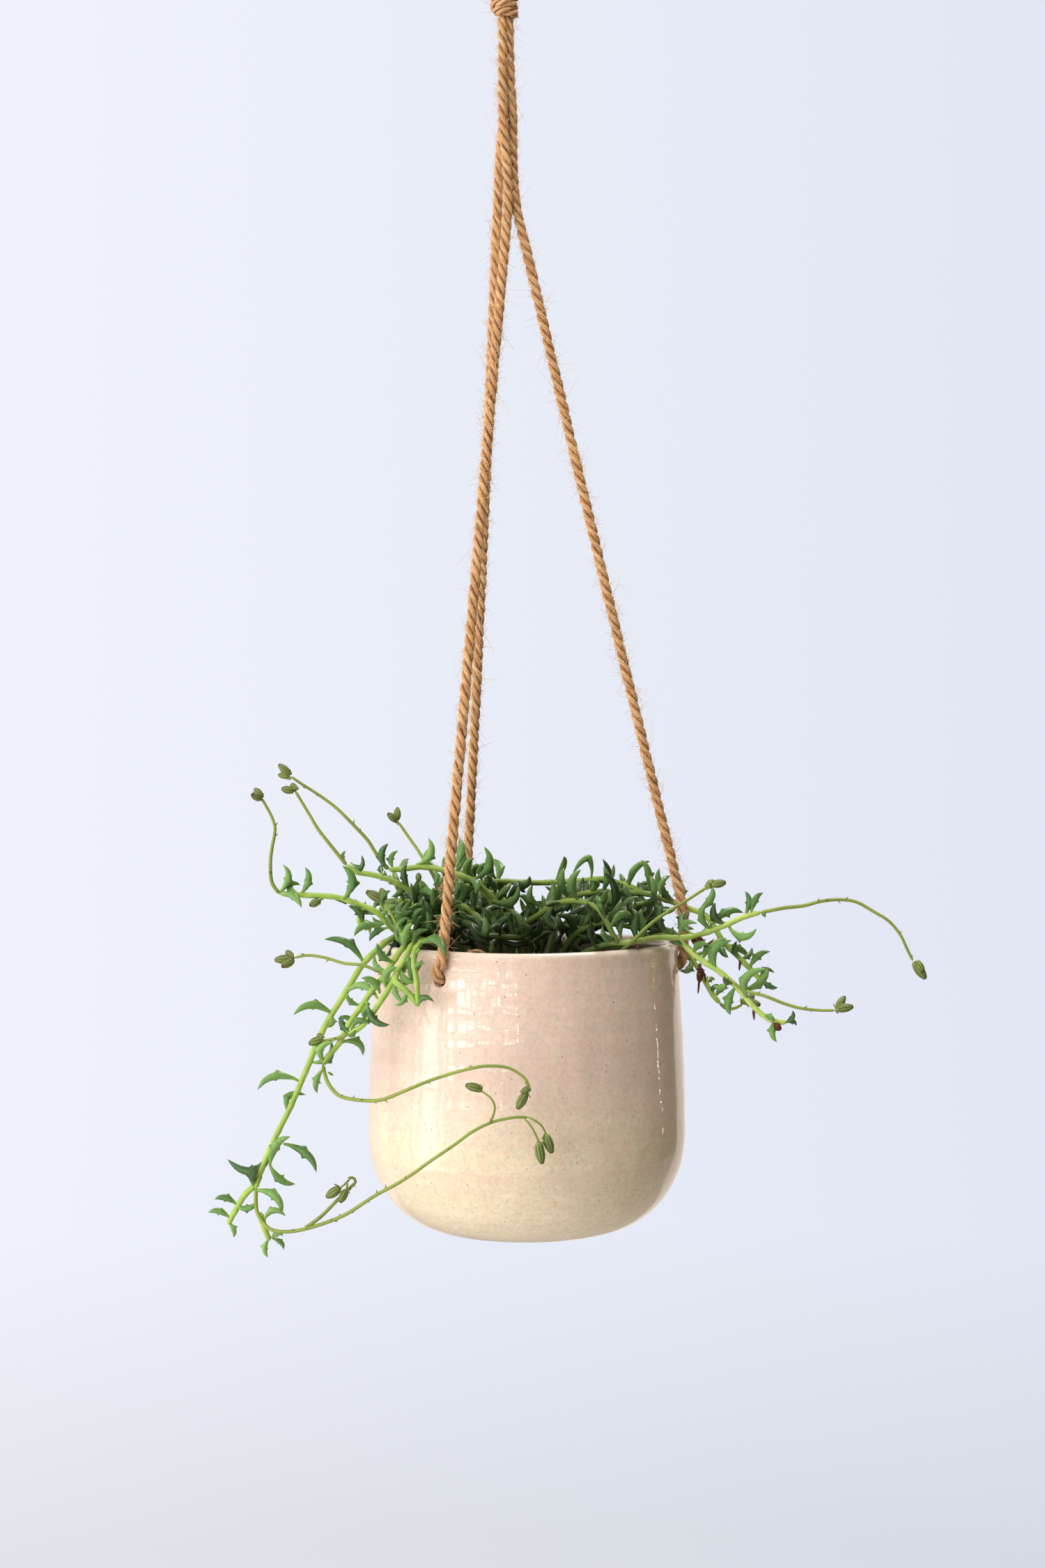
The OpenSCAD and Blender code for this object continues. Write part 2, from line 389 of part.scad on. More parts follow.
// ---------- vine h ----------
vine_h = [[-10, -14, -19], [-34, -34, -2], [-45, -44, 4], [-49, -52, 1], [-51, -56, -3],
    [-54, -58, -8], [-58, -58, -16],
  [-62, -57, -22], [-66, -55, -28], [-70, -54, -32], [-75, -53, -35]];
module vine_h_stem() stems([vine_h]);
module vine_h_leaves() leaves([
  [[-53, -58, -7], [-47, -60, -13], -1], [[-67, -56, -21], [-58, -60, -31], -2], [[-66, -56, -22],
    [-67, -50, -30], -1.5],
  [[-74, -54, -33], [-66, -56, -30], 1.5], [[-59, -58, -15], [-55, -62, -6], 1.5], [[-59, -58, -14],
    [-53, -52, -13], 0.5],
  [[-74, -53, -35], [-79, -48, -28], 0.8], [[-72, -54, -33], [-75, -59, -35], 0.5], [[-48, -50, 2],
    [-42, -54, 9], 1.2]
]);
module vine_h_flowers() flowers([[[-75, -53, -35], [-80, -52, -37], [-86, -50, -38]]], [],
  [[[-86, -50, -37.5], [-92, -50, -39.5], 1], [[-86.5, -50, -37], [-88.5, -46, -36], 0.7]], 2);

// ---------- vine i: two short drops in front of the wall ----------
vine_i = [[[-20, -16, -19], [-36, -38, -1], [-43, -48, 4], [-45, -56, 3], [-47, -61, 0],
    [-47, -63, -6], [-46, -64, -12],
  [-45, -65, -22]], [[-54, -58, -8], [-55, -61, -12], [-50, -64, -16], [-45, -65, -22]]];
module vine_i_stem() stems(vine_i);
module vine_i_leaves() leaves([
  [[-45, -62, 1], [-48, -60, -12], -1.5], [[-45, -65, -22], [-39, -69, -19], 1.5], [[-55, -61, -12],
    [-52, -66, -20], -0.6],
  [[-51, -63, -14], [-46, -64, -18], -0.6], [[-47, -63, -8], [-43, -66, -4], 0.4], [[-50, -64, -16],
    [-54, -66, -22], 0.5],
  [[-45, -56, 3], [-33, -74, 0], 3]
]);

// ---------- vine j: the bright one over the right rim ----------
vine_j = [[8, -16, -19], [22, -36, -4], [34, -46, 2], [44, -48, 3], [52, -40, 4], [62, -32, 4],
    [71, -26, 4], [80, -22, 6],
  [88, -20, 9], [95, -19, 12], [102, -18, 14]];
module vine_j_stem() stems([vine_j]);
module vine_j_leaves() leaves([
  [[62, -30, 5], [58, -36, 18], 2.5], [[80, -22, 7], [77, -26, 18], 2.2], [[87, -20, 9],
    [81, -24, 18], 2],
  [[81, -18, 9], [94, -14, 15], 1], [[95, -19, 13], [96, -17, 23], -0.8], [[98, -18, 14],
    [102, -20, 23], 0.8],
  [[88, -20, 8], [99, -26, 6], -2.5], [[52, -40, 4], [48, -44, 17], 1.2], [[49, -44, 3],
    [45, -40, 17], -1],
  [[72, -26, 5], [68, -18, 14], 1.5], [[102, -18, 14], [104, -18, 12], 0.3], [[66, -29, 5],
    [72, -36, 11], 1.5]
]);
module vine_j_flowers() flowers(
  [[[102, -18, 14], [112, -18, 16], [121, -18, 17], [129, -18, 19], [137, -18, 19.5], [145, -18, 18],
    [152, -18, 14],
    [158, -18, 10], [163, -18, 4], [166, -18, -2], [168.5, -18, -7]]],
  [], [[[169, -18, -8], [174, -18, -15], 1.1], [[170, -18, -7.5], [172.5, -21, -11.5], 0.9]], 1);

// ---------- vine k ----------
vine_k = [[12, -6, -19], [40, -14, -2], [59, -20, 4], [66, -24, 2], [72, -26, -3], [77, -27, -7],
    [82, -28, -10], [88, -28, -15],
  [92, -28, -19], [96, -28, -24], [101, -28, -29], [106, -28, -32], [112, -28, -33]];
module vine_k_stem() stems([vine_k]);
module vine_k_leaves() leaves([
  [[79, -27, -7], [85, -32, 4], 1.4], [[82, -28, -10], [87, -32, 3], 3.5], [[93, -28, -19],
    [105, -24, -10], -1.6],
  [[96, -28, -24], [102, -34, -9], 5], [[90, -28, -18], [87, -32, -29], -1.5], [[87, -28, -15],
    [81, -24, -18], 0.8],
  [[111, -28, -33], [115, -30, -28], -1.2], [[112, -28, -33], [117, -24, -34], 0.5], [[107, -28, -32],
    [107, -30, -41], -0.6],
  [[102, -28, -30], [106, -34, -32], 0.8], [[76, -27, -6], [82, -20, 1], 0.6], [[89, -28, -16],
    [84, -36, -13], 0.6],
  [[68, -25, 0], [62, -32, 8], 1.2], [[72, -26, -3], [77, -34, 2], 1]
]);
module vine_k_flowers() flowers(
  [[[88, -28, -15], [94, -30, -19], [102, -32, -21], [110, -33, -24], [117, -34, -26],
    [125, -34, -27], [132, -34, -27]]],
  [], [[[132.5, -34, -26.5], [140, -34, -25.5], 1], [[133, -34, -26], [137, -30, -21.5], 0.85]], 1);

// ---------- vine l: arches over the back right of the rim ----------
vine_l = [[10, 6, -19], [24, 10, 8], [40, 8, 20], [53, 4, 21], [60, 3, 19], [66, 2, 17], [71, 0, 15],
    [77, -2, 13], [81, -4, 10],
  [84, -6, 5], [87, -8, 0], [92, -9, -5], [97, -10, -10], [103, -10, -16]];
module vine_l_stem() stems([vine_l]);
module vine_l_leaves() leaves([
  [[94, -10, -7], [92, -12, 1], 1], [[94, -10, -7], [100, -6, -3], -0.8], [[98, -10, -11],
    [106, -12, -3], 0.8],
  [[103, -10, -15], [108, -14, -12], 1.6], [[103, -10, -16], [110, -10, -20], -0.6], [[76, -2, 14],
    [83, -4, 24], -1.5],
  [[71, 1, 16], [69, 6, 27], 1], [[86, -8, 1], [88, -14, -6], -1], [[88, -8, -1], [98, -4, -6], 0.8],
    [[66, 2, 18], [60, -4, 26], 1.5],
  [[60, 3, 20], [64, 9, 29], 1], [[56, 4, 21], [50, 10, 26], 1.4], [[81, -4, 10], [76, -10, 4], 1],
    [[72, 0, 15], [66, -8, 11], 1.2]
]);

// ---------- vine m: thin, at the back right ----------
vine_m = [[14, 2, -19], [44, 2, -2], [60, 0, 5], [67, 0, 2], [70, 1, -4], [74, 2, -9], [77, 2, -13],
    [80, 2, -19], [83, 2, -24], [86, 2, -27.5]];
module vine_m_stem() stems([vine_m]);
module vine_m_leaves() leaves([
  [[75, 2, -10], [79, 4, -5], 0.6], [[83, 2, -24], [85, 0, -19], 0.8], [[80, 2, -19], [84, 8, -17], 0.6],
  [[73, 2, -8], [68.5, -8, -13], 1.2], [[84, 2, -25], [90, 6, -21], 0.8], [[68, 0, 1], [74, 6, 6], 1]
]);
module vine_m_flowers() flowers([[[86, 2, -27.5], [89, 2, -30], [93, 2, -30], [96, 2, -28]]], [],
  [[[96, 2, -27.5], [101.5, 4, -24.5], 1], [[98, 2, -27], [103.5, -2, -28], 1]], 2);

// ---------- flower stalks straight from the crown ----------
module flowers_d() flowers([[[-36, -10, 18], [-41, -8, 29], [-45, -8, 36], [-49, -6, 42],
    [-57, -3, 53]]], [],
  [[[-57.5, -3, 53.5], [-61.5, -5, 57], 0.85], [[-57.5, -3, 54], [-57.5, 0, 59.5], 0.85],
    [[-56, -3, 52], [-58, -3, 53], 0.45]]);
module flowers_e() flowers(
  [[[-44, -56, -4], [-50, -58, -13], [-56, -54, -13], [-62, -46, -10], [-70, -44, -7], [-78, -42, -6],
    [-86, -41, -4], [-93, -40, -3],
    [-99, -40, -4]], [[-47, -36, 0], [-51, -44, 3], [-54, -46, 8], [-57, -46, 14], [-60.5, -45, 20]]],
  [], [[[-100, -40, -4.5], [-107.5, -40, -5], 1.05], [[-100, -40, -4], [-103, -36, -1.5], 0.8],
    [[-99.5, -40, -5], [-104, -44, -7.5], 0.95],
  [[-60.5, -45, 20.5], [-68, -47, 24.5], 1.1], [[-60.5, -45, 21], [-62, -42, 25.5], 0.95]]);
module flowers_n() flowers([[[38, -46, -2], [44, -50, 3], [48, -48, 7], [54, -45, 12], [62, -42, 17],
    [69, -40, 21], [77, -38, 26]]], [],
  [[[79, -38, 27], [85, -38, 28], 0.95], [[77, -38, 26], [80, -34, 28.5], 0.9]]);
// Withered flower heads, shrivelled and brown
module dried_flowers() color([0.3, 0.12, 0.07]) solids(concat(
  [for (r = [[[71, -26, 4], [73, -24, 1], [78, -24, 0.5], [81, -25, 3]], [[73, -25, 3], [75, -27, 1],
    [77, -28, 3]],
    [[77, 2, -10], [77, -2, -13], [76.5, -3, -18], [76, -3, -23]], [[77, -2, -12], [79, -3, -15],
      [79, -4, -18]],
    [[106, -28, -33], [108, -29, -35.5], [110, -28, -36]], [[94, -10, -7], [93.5, -10, -12]],
      [[98, -28, -27], [98, -28, -32]],
    [[46, -49, 2.5], [47, -50, 0]]]) tube(curve(r, 2), 0.8, 0.35, 5)],
  [bud([72, -24, 4], [77, -24, 1], 3), bud([77, -2, -12],
    [76.5, -3, -18], 2.8), bud([106.5, -28, -33.5], [109.5, -29, -36], 3.2)]));

pot();
potting_soil();
rope_front_left();
rope_right();
rope_back();
knot_front_left();
knot_right();
knot_back();
gathering_wrap();
hanging_loop();
crown_stems_front();
crown_stems_back();
crown_stems_low();
crown_leaves_front();
crown_leaves_left();
crown_leaves_right();
crown_leaves_back();
crown_leaves_low();
rim_leaves();
twig();
vine_a_stem();
vine_a_leaves();
vine_a_flowers();
vine_b_stem();
vine_b_leaves();
vine_b_flowers();
vine_c_stem();
vine_c_leaves();
vine_c_flowers();
vine_f_stem();
vine_f_leaves();
vine_f_flowers();
vine_f_side_shoots();
vine_f_shoot_leaves();
vine_g_stem();
vine_g_leaves();
vine_g_flowers();
vine_h_stem();
vine_h_leaves();
vine_h_flowers();
vine_i_stem();
vine_i_leaves();
vine_j_stem();
vine_j_leaves();
vine_j_flowers();
vine_k_stem();
vine_k_leaves();
vine_k_flowers();
vine_l_stem();
vine_l_leaves();
vine_m_stem();
vine_m_leaves();
vine_m_flowers();
flowers_d();
flowers_e();
flowers_n();
dried_flowers();
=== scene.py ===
"""Trailing dolphin-leaved senecio in a glazed hanging bowl: the looks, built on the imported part."""
import json
import math

import bmesh
import bpy
import numpy as np
from mathutils import Vector
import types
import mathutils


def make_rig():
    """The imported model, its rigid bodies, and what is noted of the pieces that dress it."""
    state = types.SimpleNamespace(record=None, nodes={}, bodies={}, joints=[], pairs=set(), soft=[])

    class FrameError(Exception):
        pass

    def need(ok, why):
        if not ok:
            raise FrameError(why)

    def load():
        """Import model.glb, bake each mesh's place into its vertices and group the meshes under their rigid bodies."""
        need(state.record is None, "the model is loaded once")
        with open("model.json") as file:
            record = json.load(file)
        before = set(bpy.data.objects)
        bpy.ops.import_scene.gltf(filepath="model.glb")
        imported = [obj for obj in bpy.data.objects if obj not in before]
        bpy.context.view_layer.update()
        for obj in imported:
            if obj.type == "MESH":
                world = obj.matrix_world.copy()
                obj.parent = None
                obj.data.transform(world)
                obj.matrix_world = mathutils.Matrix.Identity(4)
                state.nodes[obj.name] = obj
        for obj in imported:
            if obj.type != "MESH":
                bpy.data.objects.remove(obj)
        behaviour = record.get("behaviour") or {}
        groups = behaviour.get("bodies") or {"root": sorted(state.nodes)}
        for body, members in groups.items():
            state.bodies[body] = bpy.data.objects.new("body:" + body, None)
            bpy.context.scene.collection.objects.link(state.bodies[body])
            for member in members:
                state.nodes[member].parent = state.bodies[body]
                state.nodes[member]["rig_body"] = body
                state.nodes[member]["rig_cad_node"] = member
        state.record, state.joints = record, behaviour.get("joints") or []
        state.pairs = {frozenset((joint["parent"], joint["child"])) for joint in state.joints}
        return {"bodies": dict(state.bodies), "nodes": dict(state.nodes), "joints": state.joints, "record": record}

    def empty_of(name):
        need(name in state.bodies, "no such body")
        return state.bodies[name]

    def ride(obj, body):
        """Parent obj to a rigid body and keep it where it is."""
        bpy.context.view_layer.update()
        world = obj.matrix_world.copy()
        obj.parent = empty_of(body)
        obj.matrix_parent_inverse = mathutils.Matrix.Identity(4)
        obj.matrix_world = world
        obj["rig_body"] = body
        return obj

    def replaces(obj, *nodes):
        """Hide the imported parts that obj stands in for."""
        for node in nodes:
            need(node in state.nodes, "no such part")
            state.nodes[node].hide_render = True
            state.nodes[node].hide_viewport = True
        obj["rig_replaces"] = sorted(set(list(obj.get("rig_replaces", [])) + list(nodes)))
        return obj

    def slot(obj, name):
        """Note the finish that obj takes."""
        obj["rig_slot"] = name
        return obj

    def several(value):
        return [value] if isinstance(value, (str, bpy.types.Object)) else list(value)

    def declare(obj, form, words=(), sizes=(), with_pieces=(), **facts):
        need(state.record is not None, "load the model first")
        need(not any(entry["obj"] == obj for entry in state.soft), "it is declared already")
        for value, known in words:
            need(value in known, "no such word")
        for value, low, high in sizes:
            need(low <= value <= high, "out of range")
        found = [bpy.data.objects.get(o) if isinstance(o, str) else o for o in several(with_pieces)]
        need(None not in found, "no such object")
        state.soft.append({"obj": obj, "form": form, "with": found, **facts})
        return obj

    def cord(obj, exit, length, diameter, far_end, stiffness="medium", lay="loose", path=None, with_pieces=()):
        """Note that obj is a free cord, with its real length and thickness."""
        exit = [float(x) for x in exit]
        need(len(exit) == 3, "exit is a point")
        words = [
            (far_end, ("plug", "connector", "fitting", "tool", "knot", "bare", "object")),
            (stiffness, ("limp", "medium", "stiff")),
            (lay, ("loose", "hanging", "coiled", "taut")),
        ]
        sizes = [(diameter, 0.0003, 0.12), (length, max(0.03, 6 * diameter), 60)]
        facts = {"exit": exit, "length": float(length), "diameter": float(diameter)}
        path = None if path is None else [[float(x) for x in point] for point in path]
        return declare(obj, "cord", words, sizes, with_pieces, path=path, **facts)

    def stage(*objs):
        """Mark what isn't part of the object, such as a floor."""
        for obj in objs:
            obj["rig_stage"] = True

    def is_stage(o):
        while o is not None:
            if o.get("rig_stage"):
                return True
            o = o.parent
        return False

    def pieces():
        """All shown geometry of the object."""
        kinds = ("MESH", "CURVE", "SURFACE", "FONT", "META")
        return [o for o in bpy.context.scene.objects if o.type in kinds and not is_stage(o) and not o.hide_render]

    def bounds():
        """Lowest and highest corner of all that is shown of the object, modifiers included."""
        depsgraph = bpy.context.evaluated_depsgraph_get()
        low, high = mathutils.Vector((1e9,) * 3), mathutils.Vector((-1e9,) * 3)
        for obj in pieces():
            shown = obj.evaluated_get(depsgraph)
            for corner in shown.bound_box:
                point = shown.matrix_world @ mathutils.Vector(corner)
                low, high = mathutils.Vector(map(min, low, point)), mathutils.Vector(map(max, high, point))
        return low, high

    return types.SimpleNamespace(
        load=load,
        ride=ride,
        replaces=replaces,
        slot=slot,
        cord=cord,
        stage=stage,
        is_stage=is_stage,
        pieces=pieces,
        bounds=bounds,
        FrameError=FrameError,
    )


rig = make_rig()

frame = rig.load()
nodes = frame["nodes"]
size = {"cad": [list(p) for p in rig.bounds()]}
rng = np.random.default_rng(7)
AXIS_X, RIM_Z = 0.010, -0.474  # the bowl's axis and its lip, in the row frame
AT = np.array([AXIS_X, 0, RIM_Z])
EYE = (0.0081, -0.968, RIM_Z + 0.070)  # the camera, level and looking along +Y
# ---------------------------------------------------------------- camera
cam = bpy.data.objects.new("camera", bpy.data.cameras.new("camera"))
bpy.context.scene.collection.objects.link(cam)
cam.data.lens, cam.data.sensor_width = 50, 36
cam.data.clip_end = 50
cam.location = EYE
cam.rotation_euler = (math.radians(90), 0, 0)
bpy.context.scene.camera = cam
bpy.context.scene.view_settings.view_transform = "Standard"


# ---------------------------------------------------------------- curves and skins
def unit(v):
    return v / np.maximum(np.linalg.norm(v, axis=-1, keepdims=True), 1e-12)


def curve(p, k):
    """Catmull-Rom through the points, k steps between two of them."""
    p = np.asarray(p, float)
    n = len(p)
    a, b = p[np.maximum(np.arange(n - 1) - 1, 0)], p[:-1]
    c, d = p[1:], p[np.minimum(np.arange(n - 1) + 2, n - 1)]
    t = (np.arange(k) / k)[None, :, None]
    a, b, c, d = (x[:, None, :] for x in (a, b, c, d))
    q = 0.5 * (2 * b + (c - a) * t + (2 * a - 5 * b + 4 * c - d) * t**2 + (3 * b - a - 3 * c + d) * t**3)
    return np.vstack([q.reshape(-1, p.shape[1]), p[-1]])


def evenly(p, step):
    """The same line with points an even step apart."""
    s = np.concatenate([[0], np.cumsum(np.linalg.norm(np.diff(p, axis=0), axis=1))])
    n = max(int(round(s[-1] / step)), 2)
    x = np.linspace(0, s[-1], n + 1)
    return np.stack([np.interp(x, s, p[:, i]) for i in range(p.shape[1])], 1), x


def frames(p):
    """Tangent and two normals at each point, carried along without twist."""
    t = unit(np.gradient(p, axis=0))
    u = np.zeros_like(p)
    w = np.array([0, 1.0, 0]) if abs(t[0][1]) < 0.9 else np.array([0, 0, 1.0])
    for i in range(len(p)):
        w = w - t[i] * (w @ t[i])
        w = w / np.linalg.norm(w)
        u[i] = w
    return t, u, np.cross(t, u)


class Skin:
    """Collects closed grids of rings and makes one mesh of them, with UVs and a tint for each piece."""

    def __init__(self):
        self.v, self.f, self.uv, self.tint, self.n = [], [], [], [], 0

    def grid(self, rings, along, tint, ends):
        """Rings of points, closed by a fan at each end; tint is one value, or one for each ring."""
        n, m = rings.shape[:2]
        o = self.n
        self.v.append(np.vstack([rings.reshape(-1, 3), ends[0], ends[1]]))
        j = np.arange(m)
        k = (j + 1) % m
        for i in range(n - 1):
            a, b = o + i * m, o + (i + 1) * m
            self.f.extend(zip((a + j).tolist(), (a + k).tolist(), (b + k).tolist(), (b + j).tolist()))
            low, high = along[i], along[i + 1]
            for x in range(m):
                self.uv.extend((x / m, low, (x + 1) / m, low, (x + 1) / m, high, x / m, high))
        first, last = o + n * m, o + n * m + 1
        for x in range(m):
            y = (x + 1) % m
            self.f.append((first, o + y, o + x))
            self.uv.extend(((x + 0.5) / m, along[0], (x + 1) / m, along[0], x / m, along[0]))
            self.f.append((last, o + (n - 1) * m + x, o + (n - 1) * m + y))
            self.uv.extend(((x + 0.5) / m, along[-1], x / m, along[-1], (x + 1) / m, along[-1]))
        self.n += n * m + 2
        if np.isscalar(tint):
            self.tint.extend([tint] * (n * m + 2))
        else:
            self.tint.extend([float(x) for x in np.repeat(tint, m)] + [float(tint[0]), float(tint[-1])])

    def tube(self, p, r, m, tint, along=None, lumps=None):
        """A tube of m sides about the line p; lumps scales the radius point by point."""
        t, u, w = frames(p)
        a = 2 * np.pi * np.arange(m) / m
        r = np.broadcast_to(np.asarray(r, float), (len(p),))[:, None]
        if lumps is not None:
            r = r * (1 + lumps)
        out = np.cos(a)[None, :, None] * u[:, None] + np.sin(a)[None, :, None] * w[:, None]
        ring = p[:, None] + out * r[..., None]
        s = np.concatenate([[0], np.cumsum(np.linalg.norm(np.diff(p, axis=0), axis=1))])
        r0, r1 = float(np.mean(r[0])), float(np.mean(r[-1]))
        ends = (p[0] - t[0] * r0 * 0.4, p[-1] + t[-1] * r1 * 0.5)
        self.grid(ring, s if along is None else along, tint, ends)

    def make(self, name, material, replaces, slot):
        """One mesh of all that was collected, riding on the part's only body."""
        mesh = bpy.data.meshes.new(name)
        mesh.from_pydata(np.vstack(self.v).tolist(), [], self.f)
        layer = mesh.uv_layers.new(name="UVMap")
        layer.data.foreach_set("uv", np.array(self.uv, np.float32))
        tint = mesh.attributes.new("tint", "FLOAT", "POINT")
        tint.data.foreach_set("value", np.array(self.tint, np.float32))
        mesh.polygons.foreach_set("use_smooth", [True] * len(mesh.polygons))
        mesh.materials.append(material)
        obj = bpy.data.objects.new(name, mesh)
        bpy.context.scene.collection.objects.link(obj)
        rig.ride(obj, "root")
        if replaces:
            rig.replaces(obj, *replaces)
        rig.slot(obj, slot)
        return obj


def wobble(n, scale, amount):
    """Smooth random values along a line of n points."""
    k = max(int(n / scale) + 3, 4)
    return np.interp(np.linspace(0, k - 1, n), np.arange(k), rng.normal(0, amount, k))


# ---------------------------------------------------------------- materials
def material(name, flat_color=None):
    """A new material with an empty node tree, and short ways to add nodes to it."""
    m = bpy.data.materials.new(name)
    m.use_nodes = True
    m.node_tree.nodes.clear()
    if flat_color:
        m.diffuse_color = (*flat_color, 1)

    def feed(socket, v):
        if isinstance(v, bpy.types.NodeSocket):
            m.node_tree.links.new(v, socket)
        else:
            socket.default_value = v

    def add(kind, ins=None, **attrs):
        n = m.node_tree.nodes.new("ShaderNode" + kind)
        for k, v in attrs.items():
            setattr(n, k, v)
        for k, v in (ins or {}).items():
            feed(n.inputs[k], v)
        return n

    def ramp(fac, stops):
        n = add("ValToRGB", {"Fac": fac})
        e = n.color_ramp.elements
        while len(e) > 1:
            e.remove(e[-1])
        e[0].position, e[0].color = stops[0][0], (*stops[0][1], 1)
        for p, c in stops[1:]:
            x = e.new(p)
            x.color = (*c, 1)
        return n.outputs["Color"]

    def mix(fac, a, b, blend="MIX"):
        n = add("Mix", {"Factor": fac}, data_type="RGBA", blend_type=blend)
        for k, v in ((6, a), (7, b)):
            feed(n.inputs[k], v if isinstance(v, bpy.types.NodeSocket) else (*v, 1))
        return n.outputs[2]

    def math_(op, a, b=0.0, c=0.0, clamp=False):
        n = add("Math", operation=op, use_clamp=clamp)
        for k, v in enumerate((a, b, c)):
            feed(n.inputs[k], v)
        return n.outputs[0]

    def done(shader):
        add("OutputMaterial", {"Surface": shader.outputs[0]})
        return m

    return add, ramp, mix, math_, done


def srgb(*rgb):
    """The linear colour of three values from 0 to 255."""
    rgb = [x / 255 for x in rgb]
    return tuple(x / 12.92 if x <= 0.04045 else ((x + 0.055) / 1.055) ** 2.4 for x in rgb)


def rise(start, end, top=1.0):
    """The stops of a ramp that climbs from black to a grey of strength top."""
    return [(start, (0, 0, 0)), (end, (top, top, top))]


def fall(start, end):
    return [(start, (1, 1, 1)), (end, (0, 0, 0))]


def off_axis(add, sep):
    """The distance from the vertical axis, from separated coordinates."""
    level = add("CombineXYZ", {"X": sep.outputs[0], "Y": sep.outputs[1], "Z": 0.0})
    return add("VectorMath", {0: level.outputs[0]}, operation="LENGTH").outputs["Value"]


def jute_material():
    add, ramp, mix, math_, done = material("jute", srgb(205, 150, 92))
    uv = add("UVMap", uv_map="UVMap")
    sep = add("SeparateXYZ", {"Vector": uv.outputs[0]})
    # fibres run slantwise round each strand
    slant = math_("MULTIPLY_ADD", sep.outputs[1], 95.0, sep.outputs[0])
    across, along = math_("MULTIPLY", slant, 13.0), math_("MULTIPLY", sep.outputs[1], 70.0)
    lines = add("CombineXYZ", {"X": across, "Y": along, "Z": 0.0})
    fibre = add("TexNoise", {"Vector": lines.outputs[0], "Scale": 1.0, "Detail": 4.0, "Roughness": 0.65})
    geo = add("TexCoord")
    blotch = add("TexNoise", {"Vector": geo.outputs["Object"], "Scale": 160.0, "Detail": 3.0})
    tone = ramp(fibre.outputs["Fac"], [(0.30, srgb(150, 92, 42)), (0.44, srgb(212, 154, 92)),
                                       (0.56, srgb(236, 190, 130)), (0.72, srgb(255, 232, 192))])
    worn = mix(ramp(blotch.outputs["Fac"], rise(0.35, 0.7)), tone, srgb(205, 148, 88), "MULTIPLY")
    col = mix(0.35, tone, worn)
    # the tint is painted shade in the grooves between strands, with a little stain here and there
    attr = add("Attribute", attribute_name="tint")
    col = mix(math_("MULTIPLY", attr.outputs["Fac"], 0.9, clamp=True), col, srgb(120, 64, 22))
    bump = add("Bump", {"Height": fibre.outputs["Fac"], "Strength": 1.0, "Distance": 0.0005})
    return done(add("BsdfPrincipled", {
        "Base Color": col, "Roughness": 0.85, "Normal": bump.outputs[0], "Sheen Weight": 0.35,
        "Sheen Roughness": 0.6, "Specular IOR Level": 0.2}))


def fuzz_material():
    add, ramp, mix, math_, done = material("jute_fuzz", srgb(226, 190, 140))
    return done(add("BsdfPrincipled", {
        "Base Color": (*srgb(228, 190, 140), 1), "Roughness": 0.8, "Specular IOR Level": 0.2}))


def shaded(add, mix, math_, geo, c, dark):
    """Painted shade: growth low inside the crown, where little light reaches, is mixed towards a darker green."""
    at = add("Mapping", {"Vector": geo.outputs["Object"], "Location": (-AXIS_X, 0, -RIM_Z)})
    sep = add("SeparateXYZ", {"Vector": at.outputs[0]})
    core = math_("MULTIPLY_ADD", off_axis(add, sep), -70.0, 5.1, clamp=True)
    low = math_("MULTIPLY_ADD", sep.outputs[2], -31.0, 1.2, clamp=True)
    return mix(math_("MULTIPLY", math_("MULTIPLY", core, low), 0.92), c, dark)


def leaf_material(name, base, light, tip, petiole):
    add, ramp, mix, math_, done = material(name, base)
    uv = add("UVMap", uv_map="UVMap")
    sep = add("SeparateXYZ", {"Vector": uv.outputs[0]})
    geo = add("TexCoord")
    tint = add("Attribute", attribute_name="tint")
    cloud = add("TexNoise", {"Vector": geo.outputs["Object"], "Scale": 420.0, "Detail": 4.0, "Roughness": 0.6})
    fine = add("TexNoise", {"Vector": geo.outputs["Object"], "Scale": 1100.0, "Detail": 2.0})
    c = mix(ramp(cloud.outputs["Fac"], rise(0.38, 0.68)), base, light)
    # painted shade: leaves of a low tint are darkened, scattered at random in place of the crown's shadows; those of a
    # high tint are paler in tone
    c = mix(math_("MULTIPLY_ADD", tint.outputs["Fac"], -2.4, 0.92, clamp=True), c, srgb(20, 46, 16))
    c = mix(tint.outputs["Fac"], c, mix(0.75, c, srgb(146, 186, 96)))
    # a paler window line along the two flanks, as the leaf's clear stripe shows
    flank = math_("ABSOLUTE", math_("COSINE", math_("MULTIPLY", sep.outputs[0], 2 * math.pi)))
    c = mix(math_("MULTIPLY", math_("POWER", flank, 10.0), 0.35), c, srgb(112, 160, 104))
    c = mix(ramp(sep.outputs[1], fall(0.0, 0.3)), c, petiole)
    c = mix(ramp(sep.outputs[1], rise(0.955, 1.0)), c, tip)
    # painted shade deep in the crown
    c = shaded(add, mix, math_, geo, c, srgb(11, 27, 9))
    bump = add("Bump", {"Height": fine.outputs["Fac"], "Strength": 0.05, "Distance": 0.0002})
    return done(add("BsdfPrincipled", {
        "Base Color": c, "Roughness": 0.38, "Normal": bump.outputs[0], "Subsurface Weight": 0.18,
        "Subsurface Radius": (0.0013, 0.0024, 0.0006), "Subsurface Scale": 1.0,
        "Specular IOR Level": 0.5, "Coat Weight": 0.35, "Coat Roughness": 0.22}))


